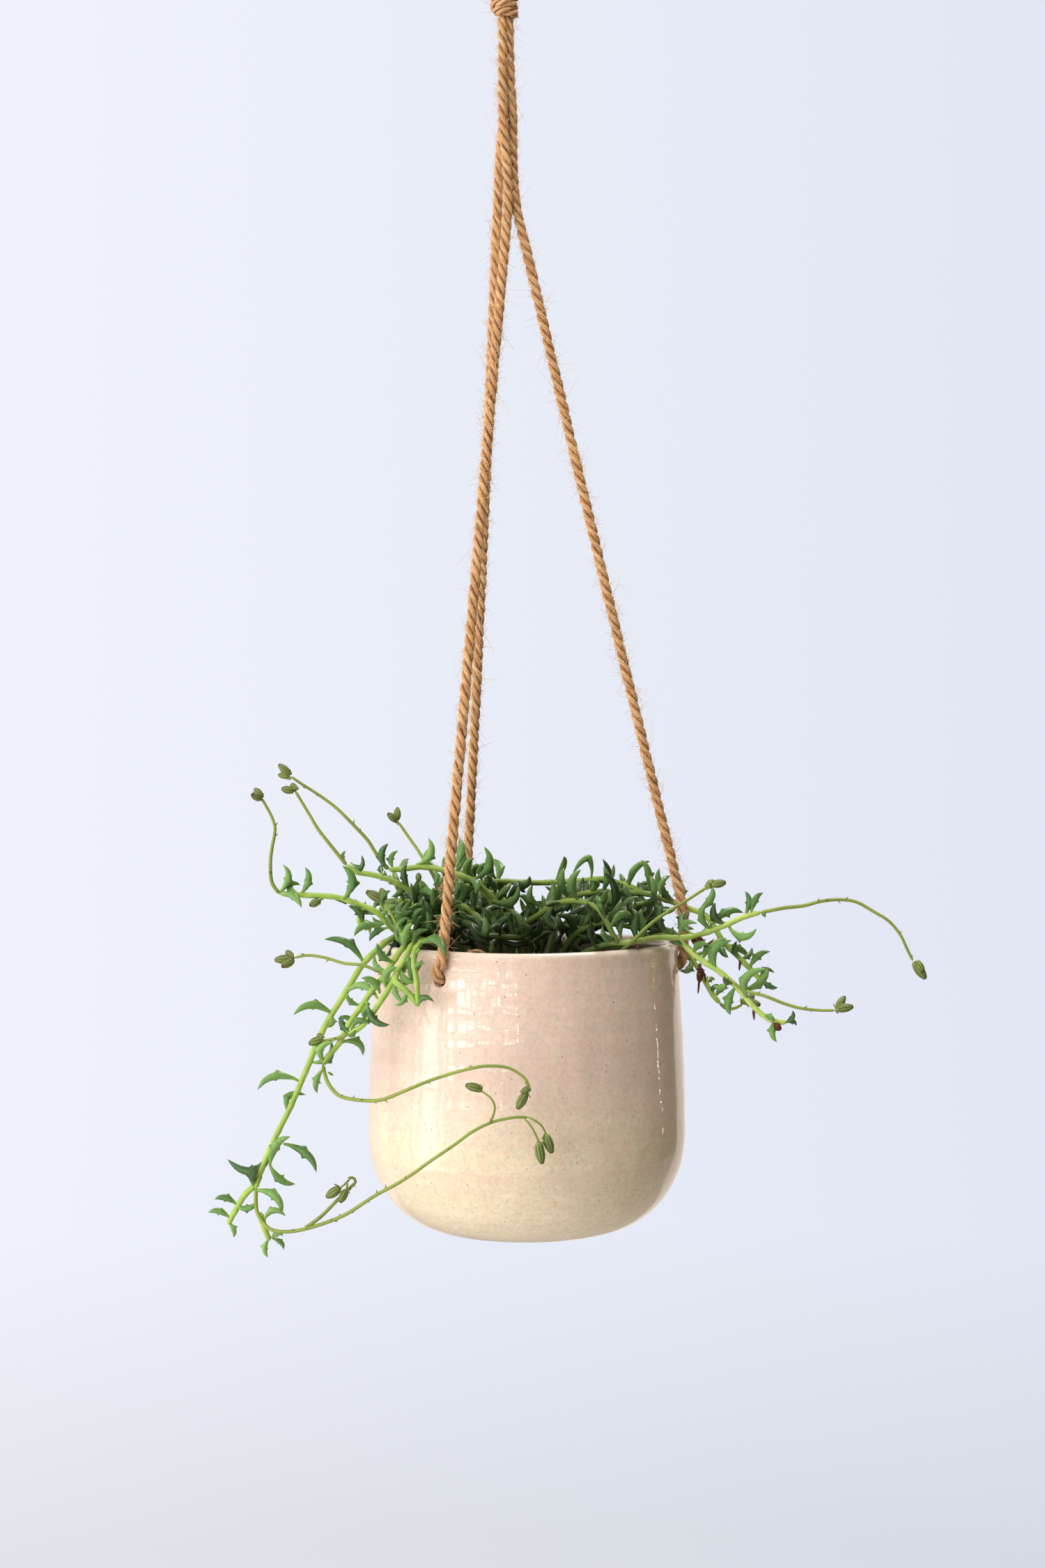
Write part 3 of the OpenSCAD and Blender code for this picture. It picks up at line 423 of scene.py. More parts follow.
def stem_material(name, low, high, node):
    add, ramp, mix, math_, done = material(name, high)
    geo = add("TexCoord")
    uv = add("UVMap", uv_map="UVMap")
    sep = add("SeparateXYZ", {"Vector": uv.outputs[0]})
    tint = add("Attribute", attribute_name="tint")
    across, along = math_("MULTIPLY", sep.outputs[0], 9.0), math_("MULTIPLY", sep.outputs[1], 90.0)
    streak = add("CombineXYZ", {"X": across, "Y": along, "Z": 0.0})
    n = add("TexNoise", {"Vector": streak.outputs[0], "Scale": 1.0, "Detail": 3.0})
    cloud = add("TexNoise", {"Vector": geo.outputs["Object"], "Scale": 60.0, "Detail": 2.0})
    c = mix(ramp(cloud.outputs["Fac"], rise(0.38, 0.64)), low, high)
    c = mix(math_("MULTIPLY", n.outputs["Fac"], 0.35), c, node)
    c = mix(tint.outputs["Fac"], c, node)
    # painted shade deep in the crown
    c = shaded(add, mix, math_, geo, c, srgb(44, 62, 22))
    bump = add("Bump", {"Height": n.outputs["Fac"], "Strength": 0.1, "Distance": 0.0002})
    return done(add("BsdfPrincipled", {
        "Base Color": c, "Roughness": 0.42, "Normal": bump.outputs[0], "Subsurface Weight": 0.12,
        "Subsurface Radius": (0.002, 0.0026, 0.0006), "Subsurface Scale": 1.0, "Specular IOR Level": 0.45}))


def bud_material():
    add, ramp, mix, math_, done = material("bud", srgb(92, 104, 56))
    uv = add("UVMap", uv_map="UVMap")
    sep = add("SeparateXYZ", {"Vector": uv.outputs[0]})
    geo = add("TexCoord")
    ribs = math_("SINE", math_("MULTIPLY", sep.outputs[0], 2 * math.pi * 9))
    cloud = add("TexNoise", {"Vector": geo.outputs["Object"], "Scale": 500.0, "Detail": 3.0})
    grooves = ramp(math_("MULTIPLY_ADD", ribs, 0.5, 0.5), rise(0.1, 0.9))
    c = mix(grooves, srgb(78, 98, 44), srgb(126, 142, 74))
    c = mix(ramp(cloud.outputs["Fac"], rise(0.5, 0.8, 0.7)), c, srgb(120, 98, 62))
    c = mix(ramp(sep.outputs[1], rise(0.86, 1.0)), c, srgb(74, 52, 40))
    c = mix(ramp(sep.outputs[1], fall(0.0, 0.16)), c, srgb(128, 142, 70))
    bump = add("Bump", {"Height": cloud.outputs["Fac"], "Strength": 0.3, "Distance": 0.0002})
    return done(add("BsdfPrincipled", {
        "Base Color": c, "Roughness": 0.55, "Normal": bump.outputs[0], "Subsurface Weight": 0.12,
        "Subsurface Radius": (0.001, 0.0014, 0.0005), "Subsurface Scale": 1.0}))


def glaze_material():
    add, ramp, mix, math_, done = material("glaze", srgb(226, 204, 186))
    geo = add("TexCoord")
    at = add("Mapping", {"Vector": geo.outputs["Object"], "Location": (-AXIS_X, 0, -RIM_Z)})
    sep = add("SeparateXYZ", {"Vector": at.outputs[0]})

    def noise(scale, detail, rough=0.5):
        """Noise of one scale, or of one for each axis."""
        vector = at.outputs[0]
        if isinstance(scale, tuple):
            vector, scale = add("Mapping", {"Vector": vector, "Scale": scale}).outputs[0], 1.0
        n = add("TexNoise", {"Vector": vector, "Scale": scale, "Detail": detail, "Roughness": rough})
        return n.outputs["Fac"]

    wide = noise(26.0, 4.0, 0.55)
    rings = noise((6, 6, 170), 4.0, 0.6)
    runs = noise((170, 170, 22), 4.0, 0.65)
    mottle = noise(520.0, 6.0, 0.8)
    hue = noise(240.0, 3.0, 0.7)
    # pink-beige above, cream below; the line between them wanders
    height = math_("MULTIPLY_ADD", math_("SUBTRACT", wide, 0.5), 0.030, sep.outputs[2])
    height = math_("MULTIPLY_ADD", math_("SUBTRACT", runs, 0.5), 0.010, height)
    edge, blur = 0.085, 0.028  # how far below the lip the change ends, and over what height
    share = math_("MULTIPLY_ADD", height, 1 / blur, edge / blur, clamp=True)
    upper = mix(ramp(rings, rise(0.38, 0.66)), srgb(236, 212, 196), srgb(229, 203, 189))
    upper = mix(ramp(runs, rise(0.45, 0.8, 0.7)), upper, srgb(240, 214, 190))
    lower = mix(ramp(rings, rise(0.38, 0.66)), srgb(244, 229, 198), srgb(238, 221, 189))
    c = mix(ramp(share, rise(0.0, 1.0)), lower, upper)
    c = mix(ramp(mottle, rise(0.44, 0.66, 0.55)), c, srgb(192, 176, 158))
    c = mix(ramp(hue, rise(0.48, 0.74, 0.45)), c, srgb(238, 190, 168))
    # iron specks, most of them tiny: scale, core, edge, share left out, tone
    for scale, core, rim, missing, tone in ((110.0, 0.035, 0.06, 0.84, srgb(84, 56, 40)),
                                            (330.0, 0.08, 0.15, 0.72, srgb(150, 124, 104))):
        spots = add("TexVoronoi", {"Vector": at.outputs[0], "Scale": scale, "Randomness": 1.0})
        keep = add("SeparateColor", {"Color": spots.outputs["Color"]})
        some = math_("GREATER_THAN", keep.outputs[0], missing)
        dot = ramp(spots.outputs["Distance"], fall(core, rim))
        c = mix(math_("MULTIPLY", math_("MULTIPLY", dot, some), 0.8), c, tone)
    # darker throwing bands here and there
    c = mix(ramp(noise((3, 3, 90), 2.0), rise(0.52, 0.70, 0.20)), c, srgb(208, 176, 160))
    # painted shade: the inside wall, from just under the lip to about 40 mm down, is darkened to a deep brown
    within = math_("MULTIPLY_ADD", off_axis(add, sep), -900.0, 57.3, clamp=True)
    below = math_("MULTIPLY_ADD", sep.outputs[2], -300.0, -0.5, clamp=True)
    inside = math_("MULTIPLY", within, below)
    inside = math_("MULTIPLY", inside, math_("MULTIPLY_ADD", sep.outputs[2], 400.0, 16.0, clamp=True))
    c = mix(math_("MULTIPLY", inside, 0.86), c, srgb(84, 72, 60))
    # painted highlight: the top of the lip is paler
    lip = math_("MULTIPLY_ADD", sep.outputs[2], 1 / 0.0035, 1.0, clamp=True)
    c = mix(math_("MULTIPLY", lip, 0.55), c, srgb(240, 228, 210))
    # the body's relief, and the smoother one of the clear coat over it
    relief = math_("MULTIPLY_ADD", noise((60, 60, 34), 3.0), 1.0, math_("MULTIPLY", rings, 0.45))
    relief = math_("MULTIPLY_ADD", runs, 0.22, relief)
    bump = add("Bump", {"Height": relief, "Strength": 0.8, "Distance": 0.0009})
    pits = add("Bump", {"Height": mottle, "Strength": 0.05, "Distance": 0.0003, "Normal": bump.outputs[0]})
    ripple = math_("MULTIPLY_ADD", rings, 0.06, noise((62, 62, 26), 1.0))
    wavy = add("Bump", {"Height": ripple, "Strength": 1.0, "Distance": 0.00055})
    return done(add("BsdfPrincipled", {
        "Base Color": c, "Roughness": 0.28, "Normal": pits.outputs[0], "Specular IOR Level": 0.45,
        "Coat Weight": 1.0, "Coat Roughness": 0.02, "Coat Normal": wavy.outputs[0],
        "Subsurface Weight": 0.05, "Subsurface Radius": (0.004, 0.003, 0.002), "Subsurface Scale": 1.0}))


def soil_material():
    add, ramp, mix, math_, done = material("soil", srgb(58, 44, 34))
    geo = add("TexCoord")
    grain = add("TexVoronoi", {"Vector": geo.outputs["Object"], "Scale": 420.0})
    n = add("TexNoise", {"Vector": geo.outputs["Object"], "Scale": 160.0, "Detail": 6.0, "Roughness": 0.7})
    c = ramp(n.outputs["Fac"], [(0.35, srgb(28, 20, 15)), (0.55, srgb(62, 45, 32)), (0.75, srgb(104, 78, 54))])
    c = mix(ramp(grain.outputs["Distance"], rise(0.0, 0.5, 0.5)), c, srgb(30, 22, 16))
    bump = add("Bump", {"Height": n.outputs["Fac"], "Strength": 1.0, "Distance": 0.002})
    return done(add("BsdfPrincipled", {
        "Base Color": c, "Roughness": 0.95, "Normal": bump.outputs[0], "Specular IOR Level": 0.2}))


def dry_material(name, dark, light):
    add, ramp, mix, math_, done = material(name, light)
    geo = add("TexCoord")
    n = add("TexNoise", {"Vector": geo.outputs["Object"], "Scale": 700.0, "Detail": 5.0, "Roughness": 0.7})
    c = ramp(n.outputs["Fac"], [(0.35, dark), (0.7, light)])
    bump = add("Bump", {"Height": n.outputs["Fac"], "Strength": 0.9, "Distance": 0.0005})
    return done(add("BsdfPrincipled", {"Base Color": c, "Roughness": 0.75, "Normal": bump.outputs[0]}))


JUTE, FUZZ, GLAZE = jute_material(), fuzz_material(), glaze_material()
SOIL, BUD = soil_material(), bud_material()
LEAF = leaf_material("leaf", srgb(40, 80, 32), srgb(92, 138, 60), srgb(104, 84, 60), srgb(136, 172, 74))
STEM = stem_material("stem", srgb(122, 160, 56), srgb(162, 194, 74), srgb(188, 208, 118))
STEM_BRIGHT = stem_material("stem_bright", srgb(164, 198, 80), srgb(192, 218, 104), srgb(212, 226, 146))
STALK = stem_material("flower_stalk", srgb(128, 150, 66), srgb(150, 172, 74), srgb(122, 118, 66))
DRIED = dry_material("dried_flower", srgb(60, 26, 14), srgb(132, 76, 46))
TWIG = dry_material("twig", srgb(150, 118, 84), srgb(214, 182, 140))

# ---------------------------------------------------------------- ropes: the cords come first
ROPE_D = 0.0045
PITCH = 0.0165  # height of one turn of a strand
STRANDS, STRAND_SIDES = 3, 8
STRAND_OFF, STRAND_R = 0.268, 0.252  # a strand's place and radius, as shares of the rope's diameter
ROPE_STEP = 0.0009
HAIR_R, HAIR_POINTS = 0.00008, 6
HAIRS_BOUND, HAIRS_ROPE = 2200, 4600  # stray fibres for each metre
HAIR_BOUND_LONG, HAIR_ROPE_LONG = 0.009, 0.016


def strands(skin, p, d, phase, pitch):
    """Three strands laid left-handed about the line p, where d is the rope's diameter."""
    p, s = evenly(curve(p, 6), ROPE_STEP)
    _, u, w = frames(p)
    for k in range(STRANDS):
        a = phase + k * 2 * np.pi / STRANDS - 2 * np.pi * s / pitch + wobble(len(p), 30, 0.10)
        off = d * STRAND_OFF * (1 + wobble(len(p), 14, 0.035))
        line = p + (np.cos(a)[:, None] * u + np.sin(a)[:, None] * w) * off[:, None]
        r = d * STRAND_R * (1 + wobble(len(p), 9, 0.05))
        lumps = rng.normal(0, 0.02, (len(p), STRAND_SIDES))
        first = skin.n
        skin.tube(line, r, STRAND_SIDES, 0.0, s, lumps)
        # the tint is painted shade on the yarn in the grooves, plus a little stain here and there
        spots = skin.v[-1][: len(p) * STRAND_SIDES].reshape(len(p), STRAND_SIDES, 3)
        depth = np.linalg.norm(spots - p[:, None], axis=2) / d
        groove_shade = np.clip((0.47 - depth) / 0.14, 0, 1) ** 1.2 * 0.95
        shade_and_stain = groove_shade + np.clip(wobble(len(p), 16, 0.10), 0, 0.3)[:, None]
        skin.tint[first : first + len(p) * STRAND_SIDES] = np.clip(shade_and_stain, 0, 1).ravel().tolist()
    return p, s


def hairs(skin, p, d, count, longest):
    """Stray fibres that lift off a rope's surface."""
    t, u, w = frames(p)
    for _ in range(count):
        i = rng.integers(2, len(p) - 2)
        a = rng.uniform(0, 2 * np.pi)
        out = np.cos(a) * u[i] + np.sin(a) * w[i]
        turn = np.cross(t[i], out)
        length = longest * rng.beta(1.1, 5.0) + 0.0012
        lift, lie = rng.uniform(0.15, 0.9), rng.normal(0, 0.8)
        start = p[i] + out * d * 0.46
        x = np.linspace(0, 1, HAIR_POINTS)[:, None]
        bend = rng.normal(0, 0.35, 3)
        way = out * lift + t[i] * lie + turn * rng.normal(0, 0.4)
        line = start + length * (x * way * 0.75 + x**2 * bend * 0.5)
        skin.tube(line, HAIR_R * np.linspace(1.0, 0.45, HAIR_POINTS), 3, 0.0)


def mm(points):
    return np.array(points, float) / 1000 + AT


# from the knot inside the bowl, through the hole and up to the wrap: mm from the middle of the lip
ROUTES = {
    "rope_front_left": mm([
        (-30.5, -47, -12), (-33.5, -51.6, -12), (-36, -55.6, -11.8), (-37.6, -58, -9.5), (-37, -58.8, -6),
        (-35, -59.8, 0), (-31.5, -55, 45), (-22, -35, 160), (-14, -16, 258), (-8.5, -2.5, 325),
        (-9, -2.2, 345), (-10.5, -2, 365), (-10.8, -1.6, 385), (-10.6, -1.2, 402), (-11, -1, 428)]),
    "rope_right": mm([
        (56, -3, -12), (60, -3.2, -12), (64.6, -3.4, -11.8), (68, -3.6, -9.5), (69.4, -3.8, -6),
        (69.4, -4, 0), (68, -4, 20), (62, -3, 45), (31, -2, 174), (0.5, -0.8, 304), (-4.5, 0, 326),
        (-6.3, 0.8, 345), (-6.4, 1, 365), (-7.4, 0.6, 385), (-8, 0.2, 402), (-8.2, 0, 428)]),
    "rope_back": mm([
        (-25.5, 50, -12), (-27.3, 53.6, -12), (-29.2, 57.4, -11.8), (-30.9, 60.6, -9.5),
        (-31.2, 61.8, -6), (-30.4, 62.2, 0), (-27.2, 54, 42), (-21, 33, 158), (-14.9, 9, 286),
        (-13.2, 4, 322), (-12.2, 2, 345), (-10.6, 2.4, 365), (-9.2, 2.6, 385), (-9.4, 2.4, 402),
        (-10.4, 2, 428)]),
}


# ---------------------------------------------------------------- reading the CAD solids
def islands(name):
    """The closed solids of a CAD node: for each, its corner points and each point's neighbours."""
    bm = bmesh.new()
    bm.from_mesh(nodes[name].data)
    bmesh.ops.remove_doubles(bm, verts=bm.verts, dist=2e-6)
    bm.faces.index_update()
    seen, out = set(), []
    for face in bm.faces:
        if face.index in seen:
            continue
        stack, links, where = [face], {}, {}
        seen.add(face.index)
        while stack:
            for e in stack[-1].edges:
                p, q = e.verts
                links.setdefault(p.index, set()).add(q.index)
                links.setdefault(q.index, set()).add(p.index)
                where[p.index], where[q.index] = p.co[:], q.co[:]
            # two solids may share a point, but never an edge
            for e in stack.pop().edges:
                for g in e.link_faces:
                    if g.index not in seen:
                        seen.add(g.index)
                        stack.append(g)
        keys = sorted(where)
        index = {k: i for i, k in enumerate(keys)}
        out.append((np.array([where[k] for k in keys]), [[index[j] for j in sorted(links[k])] for k in keys]))
    bm.free()
    return out


def walk(co, near, start):
    """Rings of a skin, one edge further from its first point each."""
    rings, seen = [[start]], {start}
    while True:
        nxt = sorted({j for i in rings[-1] for j in near[i]} - seen)
        if not nxt:
            return rings
        seen.update(nxt)
        rings.append(nxt)


def line_of(co, near):
    """A tube's ring centres and radii, from its wide end, and its number of sides; None if it is no tube."""
    best = None
    ends = []
    for i in range(len(co)):
        rings = walk(co, near, i)
        if len({len(r) for r in rings[1:-1]}) == 1 and len(rings[-1]) == 1:
            ends.append(i)
    for i in ends[:4]:
        rings = walk(co, near, i)
        c = np.array([co[r].mean(0) for r in rings])
        r = np.array([np.linalg.norm(co[x] - co[x].mean(0), axis=1).mean() for x in rings[1:-1]])
        if best is None or r[0] > best[1][0]:
            best = (c, np.concatenate([[r[0]], r, [r[-1]]]), len(rings[1]))
    return best


# ---------------------------------------------------------------- ropes, knots, wrap, loop
def rope_piece(name, line, d, phase, pitch=PITCH):
    skin = Skin()
    p, s = strands(skin, line, d, phase, pitch)
    return skin.make(name + "_yarn", JUTE, [name], "jute"), p, s


def fuzz_piece(name, p, d, count, longest):
    skin = Skin()
    hairs(skin, p, d, count, longest)
    return skin.make(name + "_fuzz", FUZZ, (), "jute")


with_knots = {
    "rope_front_left": ["knot_front_left", "gathering_wrap"],
    "rope_right": ["knot_right", "hanging_loop"],
    "rope_back": ["knot_back"],
}
extras = {}
for k, name in enumerate(("knot_front_left", "knot_right", "knot_back", "gathering_wrap", "hanging_loop")):
    co, near = islands(name)[0]
    line, r, _ = line_of(co, near)
    d = 2.0 * float(np.median(r))
    yarn, p, s = rope_piece(name, line[1:-1], d, 0.4 + k, PITCH * d / ROPE_D * 0.95)
    extras[name] = [yarn, fuzz_piece(name, p, d, int(s[-1] * HAIRS_BOUND), HAIR_BOUND_LONG)]
for k, name in enumerate(("rope_front_left", "rope_right", "rope_back")):
    obj, p, s = rope_piece(name, ROUTES[name], ROPE_D, 1.1 * k)
    fuzz = fuzz_piece(name, p, ROPE_D, int(s[-1] * HAIRS_ROPE), HAIR_ROPE_LONG)
    path, length = evenly(curve(ROUTES[name], 8), 0.002)
    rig.cord(obj, path[0], float(length[-1]), ROPE_D, "knot", stiffness="medium", lay="taut", path=path,
            with_pieces=[fuzz] + [x for e in with_knots[name] for x in extras[e]])


# ---------------------------------------------------------------- plant
def corners(co, near, sides):
    """A solid's rings from its narrow end, where each ring between its two tips has `sides` points."""
    for i in range(len(co)):
        rings = walk(co, near, i)
        if [len(r) for r in rings] == [1] + [sides] * (len(rings) - 2) + [1]:
            first = np.linalg.norm(co[rings[1]] - co[rings[1]].mean(0), axis=1).mean()
            last = np.linalg.norm(co[rings[-2]] - co[rings[-2]].mean(0), axis=1).mean()
            return rings if first <= last else rings[::-1]
    return None


LEAF_HIGH = 0.0038  # height of the body of a large leaf
T = np.array([0, .02, .06, .12, .19, .27, .34, .39, .43, .465, .49, .515, .545, .58, .64, .71, .78, .85, .91,
              .96, .99, 1.0])  # places along a leaf, closer where the fins rise
BODY = np.interp(T, [0, .03, .10, .2, .32, .44, .54, .66, .78, .88, .95, 1.0],
                 [.34, .34, .40, .56, .78, .90, .92, .88, .74, .54, .32, .06])
ANGLES = np.radians([0, 30, 56, 75, 90, 105, 124, 150, 180, 210, 236, 255, 270, 285, 304, 330])
SPIKE = np.maximum(0, 1 - np.abs(np.abs((np.degrees(ANGLES) % 180) - 90)) / 24) ** 1.5
FIN, FULL = 1.0, 1.0
CROWN_FIN, CROWN_FULL = 0.72, 1.1


def fin_edge(start, peak, end, climb, drop):
    """A fin's height along the leaf."""
    return np.where(T < peak, np.clip((T - start) / (peak - start), 0, 1) ** climb,
                    np.clip((end - T) / (end - peak), 0, 1) ** drop)


def leaf_skin(skin, co, rings, fin, full):
    """A dolphin-shaped leaf on a CAD leaf's own line; fin scales its two fins, and full its girth."""
    c = np.array([co[r].mean(0) for r in rings])
    ring = co[rings[2]]
    mid = ring.mean(0)
    n = max((p - mid for p in ring), key=np.linalg.norm)
    bow = mid - (c[0] + c[-1]) / 2
    if n @ bow < 0:
        n = -n
    w = np.linalg.norm(c[-1] - c[0])
    h = 0.5 * LEAF_HIGH * min(1, 0.45 + w / 0.022) * float(np.interp(w, [0.007, 0.015], [0.80, 0.98]))
    n = n / np.linalg.norm(n)
    p = curve(c, 8)
    s = np.concatenate([[0], np.cumsum(np.linalg.norm(np.diff(p, axis=0), axis=1))])
    s /= s[-1]
    p = np.stack([np.interp(T, s, p[:, i]) for i in range(3)], 1)
    # a little more banana, and a hooked tip
    banana = h * rng.uniform(0.1, 0.75) * np.sin(np.pi * T)
    hook = h * 0.5 * np.clip(T - 0.7, 0, 1) ** 2 * 14 * rng.uniform(0.2, 1.3)
    p += n * (banana - hook)[:, None]
    t = unit(np.gradient(p, axis=0))
    nn = unit(n - t * (t @ n)[:, None])
    ss = np.cross(t, nn)
    twist = T * rng.normal(0, 0.35)
    cos, sin = np.cos(twist)[:, None], np.sin(twist)[:, None]
    nn, ss = nn * cos + ss * sin, ss * cos - nn * sin
    fat = rng.uniform(0.92, 1.12) * full
    a, b = rng.uniform(0.44, 0.50), rng.uniform(0.50, 0.56)
    up = fin * fin_edge(0.33, a, 0.56, 2.4, 1.4) * rng.uniform(0.40, 0.95)
    down = fin * fin_edge(0.39, b, 0.63, 2.6, 1.5) * rng.uniform(0.25, 0.8)
    above, below = np.sin(ANGLES) > 0, np.sin(ANGLES) < 0
    tall = BODY[:, None] * fat * 0.98 + np.where(above, up[:, None], down[:, None]) * SPIKE
    x = np.cos(ANGLES) * BODY[:, None] * fat * 0.88
    y = np.sin(ANGLES) * tall
    lean = (up[:, None] * above + down[:, None] * below) * SPIKE * 0.30
    out = x[..., None] * ss[:, None] + y[..., None] * nn[:, None] + lean[..., None] * t[:, None]
    ends = (p[0] - t[0] * h * 0.3, p[-1] + t[-1] * h * 0.35)
    skin.grid(p[:, None] + out * h, T, float(rng.beta(1.3, 2.0)), ends)


def stem_skin(skin, line, r, m=10, swell=True):
    """A stem on a CAD stem's own line, with rounded ends, and with swollen nodes if swell is set."""
    p, s = evenly(curve(line, 5), 0.0011)
    rr = np.interp(s, np.linspace(0, s[-1], len(r)), r)
    tint = np.zeros(len(p)) + 0.1
    if swell:
        k = 0.004
        while k < s[-1] - 0.002:
            g = np.exp(-((s - k) / 0.0009) ** 2)
            rr = rr * (1 + rng.uniform(0.06, 0.2) * g)
            tint += 0.28 * g
            k += rng.uniform(0.007, 0.012)
    for far in (s, s[-1] - s):
        e = np.clip(far / (rr * 1.3), 0, 1)
        rr = rr * (0.35 + 0.65 * np.sqrt(1 - (1 - e) ** 2))
    p = p + np.stack([wobble(len(p), 9, 0.00010) for _ in range(3)], 1)
    skin.tube(p, rr, m, np.clip(tint, 0, 1), s)
    return p, s, rr


def bract(skin, at, d, size):
    """A tiny pointed scale leaf on a stalk or at a bud's foot."""
    t = np.linspace(0, 1, 6)
    side = np.cross(d, rng.normal(size=3))
    side /= np.linalg.norm(side)
    p = at + size * (t[:, None] * d + (t**2)[:, None] * side * 0.35)
    skin.tube(p, size * 0.13 * np.array([0.8, 1.25, 1.2, 0.9, 0.5, 0.12]), 6, 0.6, t)


BUD_T = np.array([0, .03, .08, .15, .25, .36, .48, .6, .72, .82, .9, .95, .98, 1.0])
BUD_SHAPE = np.interp(BUD_T, [0, .04, .12, .25, .42, .6, .75, .88, .95, 1],
                      [.48, .62, .82, .98, 1.04, 1.0, .88, .66, .50, .34])
BUD_SIDES = 36
BRACTS = 5


def bud_skin(skin, small, co, rings):
    """A ribbed closed bud with a ring of bracts at its foot."""
    base, tip = co[rings[0]].mean(0), co[rings[-1]].mean(0)
    w = max(np.linalg.norm(co[r] - co[r].mean(0), axis=1).mean() for r in rings[1:-1])
    d = tip - base
    length = np.linalg.norm(d)
    d = d / length
    t = BUD_T
    a = 2 * np.pi * np.arange(BUD_SIDES) / BUD_SIDES
    u = np.cross(d, [0.3, 0.9, 0.2])
    u /= np.linalg.norm(u)
    v = np.cross(d, u)
    rib = 1 + 0.05 * np.abs(np.cos(4.5 * a))[None, :] ** 0.6 * np.sin(np.pi * np.clip(t, 0.03, 0.97))[:, None]
    out = np.cos(a)[None, :, None] * u + np.sin(a)[None, :, None] * v
    ring = (base + t[:, None] * d * length)[:, None] + out * (w * BUD_SHAPE[:, None] * rib)[..., None]
    skin.grid(ring, t, float(rng.uniform(0, 1)), (base - d * w * 0.1, tip + d * w * 0.02))
    for _ in range(BRACTS):
        x = rng.uniform(0, 2 * np.pi)
        out = np.cos(x) * u + np.sin(x) * v
        foot = base + out * w * 0.42 - d * 0.0003
        bract(small, foot, unit(d * 0.75 + out * 0.75), min(0.0023, length * 0.34))


def stalk_bracts(skin, p, s, rr):
    """Scale leaves along a main stalk, one for every 11 mm."""
    for _ in range(int(s[-1] / 0.011)):
        i = rng.integers(len(p) // 6, len(p) - 1)
        d = unit(np.gradient(p, axis=0)[i])
        out = unit(np.cross(d, rng.normal(size=3)))
        bract(skin, p[i] + out * rr[i] * 0.8, unit(d + out * 0.8), rng.uniform(0.0012, 0.0021))


BRIGHT_STEMS = ("vine_j_stem", "vine_k_stem", "vine_m_stem")
BUD_FROM, DRY_HEAD_FROM = 0.0012, 0.0009  # a solid with a larger radius is a bud or a head, not a stalk
MAIN_STALK_SIDES = 5  # CAD gives side branches another number of sides

for name in list(nodes):
    if "stem" in name or name.endswith("side_shoots"):
        skin = Skin()
        for co, near in islands(name):
            line, r, _ = line_of(co, near)
            stem_skin(skin, line[1:-1], r[1:-1])
        skin.make(name + "_look", STEM_BRIGHT if name in BRIGHT_STEMS else STEM, [name], "stem")
    elif "leaves" in name:
        skin = Skin()
        fin, full = (CROWN_FIN, CROWN_FULL) if name.startswith("crown") else (FIN, FULL)
        for co, near in islands(name):
            leaf_skin(skin, co, corners(co, near, 4), fin, full)
        skin.make(name + "_look", LEAF, [name], "leaf")
    elif "flowers" in name:
        stalk, buds = Skin(), Skin()
        dry = name == "dried_flowers"
        slot = "dried_flower" if dry else "flower_stalk"
        for co, near in islands(name):
            line, r, m = line_of(co, near)
            if r[1:-1].max() > (DRY_HEAD_FROM if dry else BUD_FROM):
                bud_skin(buds, stalk, co, corners(co, near, m))
            else:
                p, s, rr = stem_skin(stalk, line[1:-1], r[1:-1], 8, False)
                if m == MAIN_STALK_SIDES and not dry:
                    stalk_bracts(stalk, p, s, rr)
        stalk.make(name + "_stalks", DRIED if dry else STALK, [name], slot)
        if buds.n:
            buds.make(name + "_buds", DRIED if dry else BUD, [name], slot)
    elif name == "twig":
        skin = Skin()
        line, r, _ = line_of(*islands(name)[0])
        stem_skin(skin, line[1:-1], r[1:-1], 7, False)
        skin.make("twig_look", TWIG, [name], "twig")

# ---------------------------------------------------------------- bowl and soil, in mm from the lip
RIM_R, POT_R, BELLY, POT_H, FOOT_R, WALL = 67.0, 70.0, 84.0, 126.0, 34.0, 5.0
HOLE_R, HOLE_DROP, HOLE_TURNS = 0.0031, 0.012, (-33, 87, 207)  # metres, and degrees from the front
SOIL_GAP = WALL + 0.6  # from the bowl's outside to the soil's edge
SOIL_DROP = 17.5


def out_r(z):
    """The bowl's outer radius at height z."""
    if z > -6:
        return RIM_R + 0.3
    if z > -BELLY:
        return RIM_R - 0.1 + (POT_R - RIM_R + 0.1) * math.sin(math.pi / 2 * (-z - 6) / (BELLY - 6))
    return FOOT_R + (POT_R - FOOT_R) * math.sqrt(max(1 - ((-z - BELLY) / (POT_H - BELLY)) ** 2, 0))


def lower(o, n):
    """The curve below the belly in n steps, moved inward by o."""
    return [(FOOT_R - o * 0.6 + (POT_R - FOOT_R - o * 0.4) * math.cos(math.pi / 2 * i / n),
             -BELLY - (POT_H - BELLY - o) * math.sin(math.pi / 2 * i / n)) for i in range(1, n + 1)]


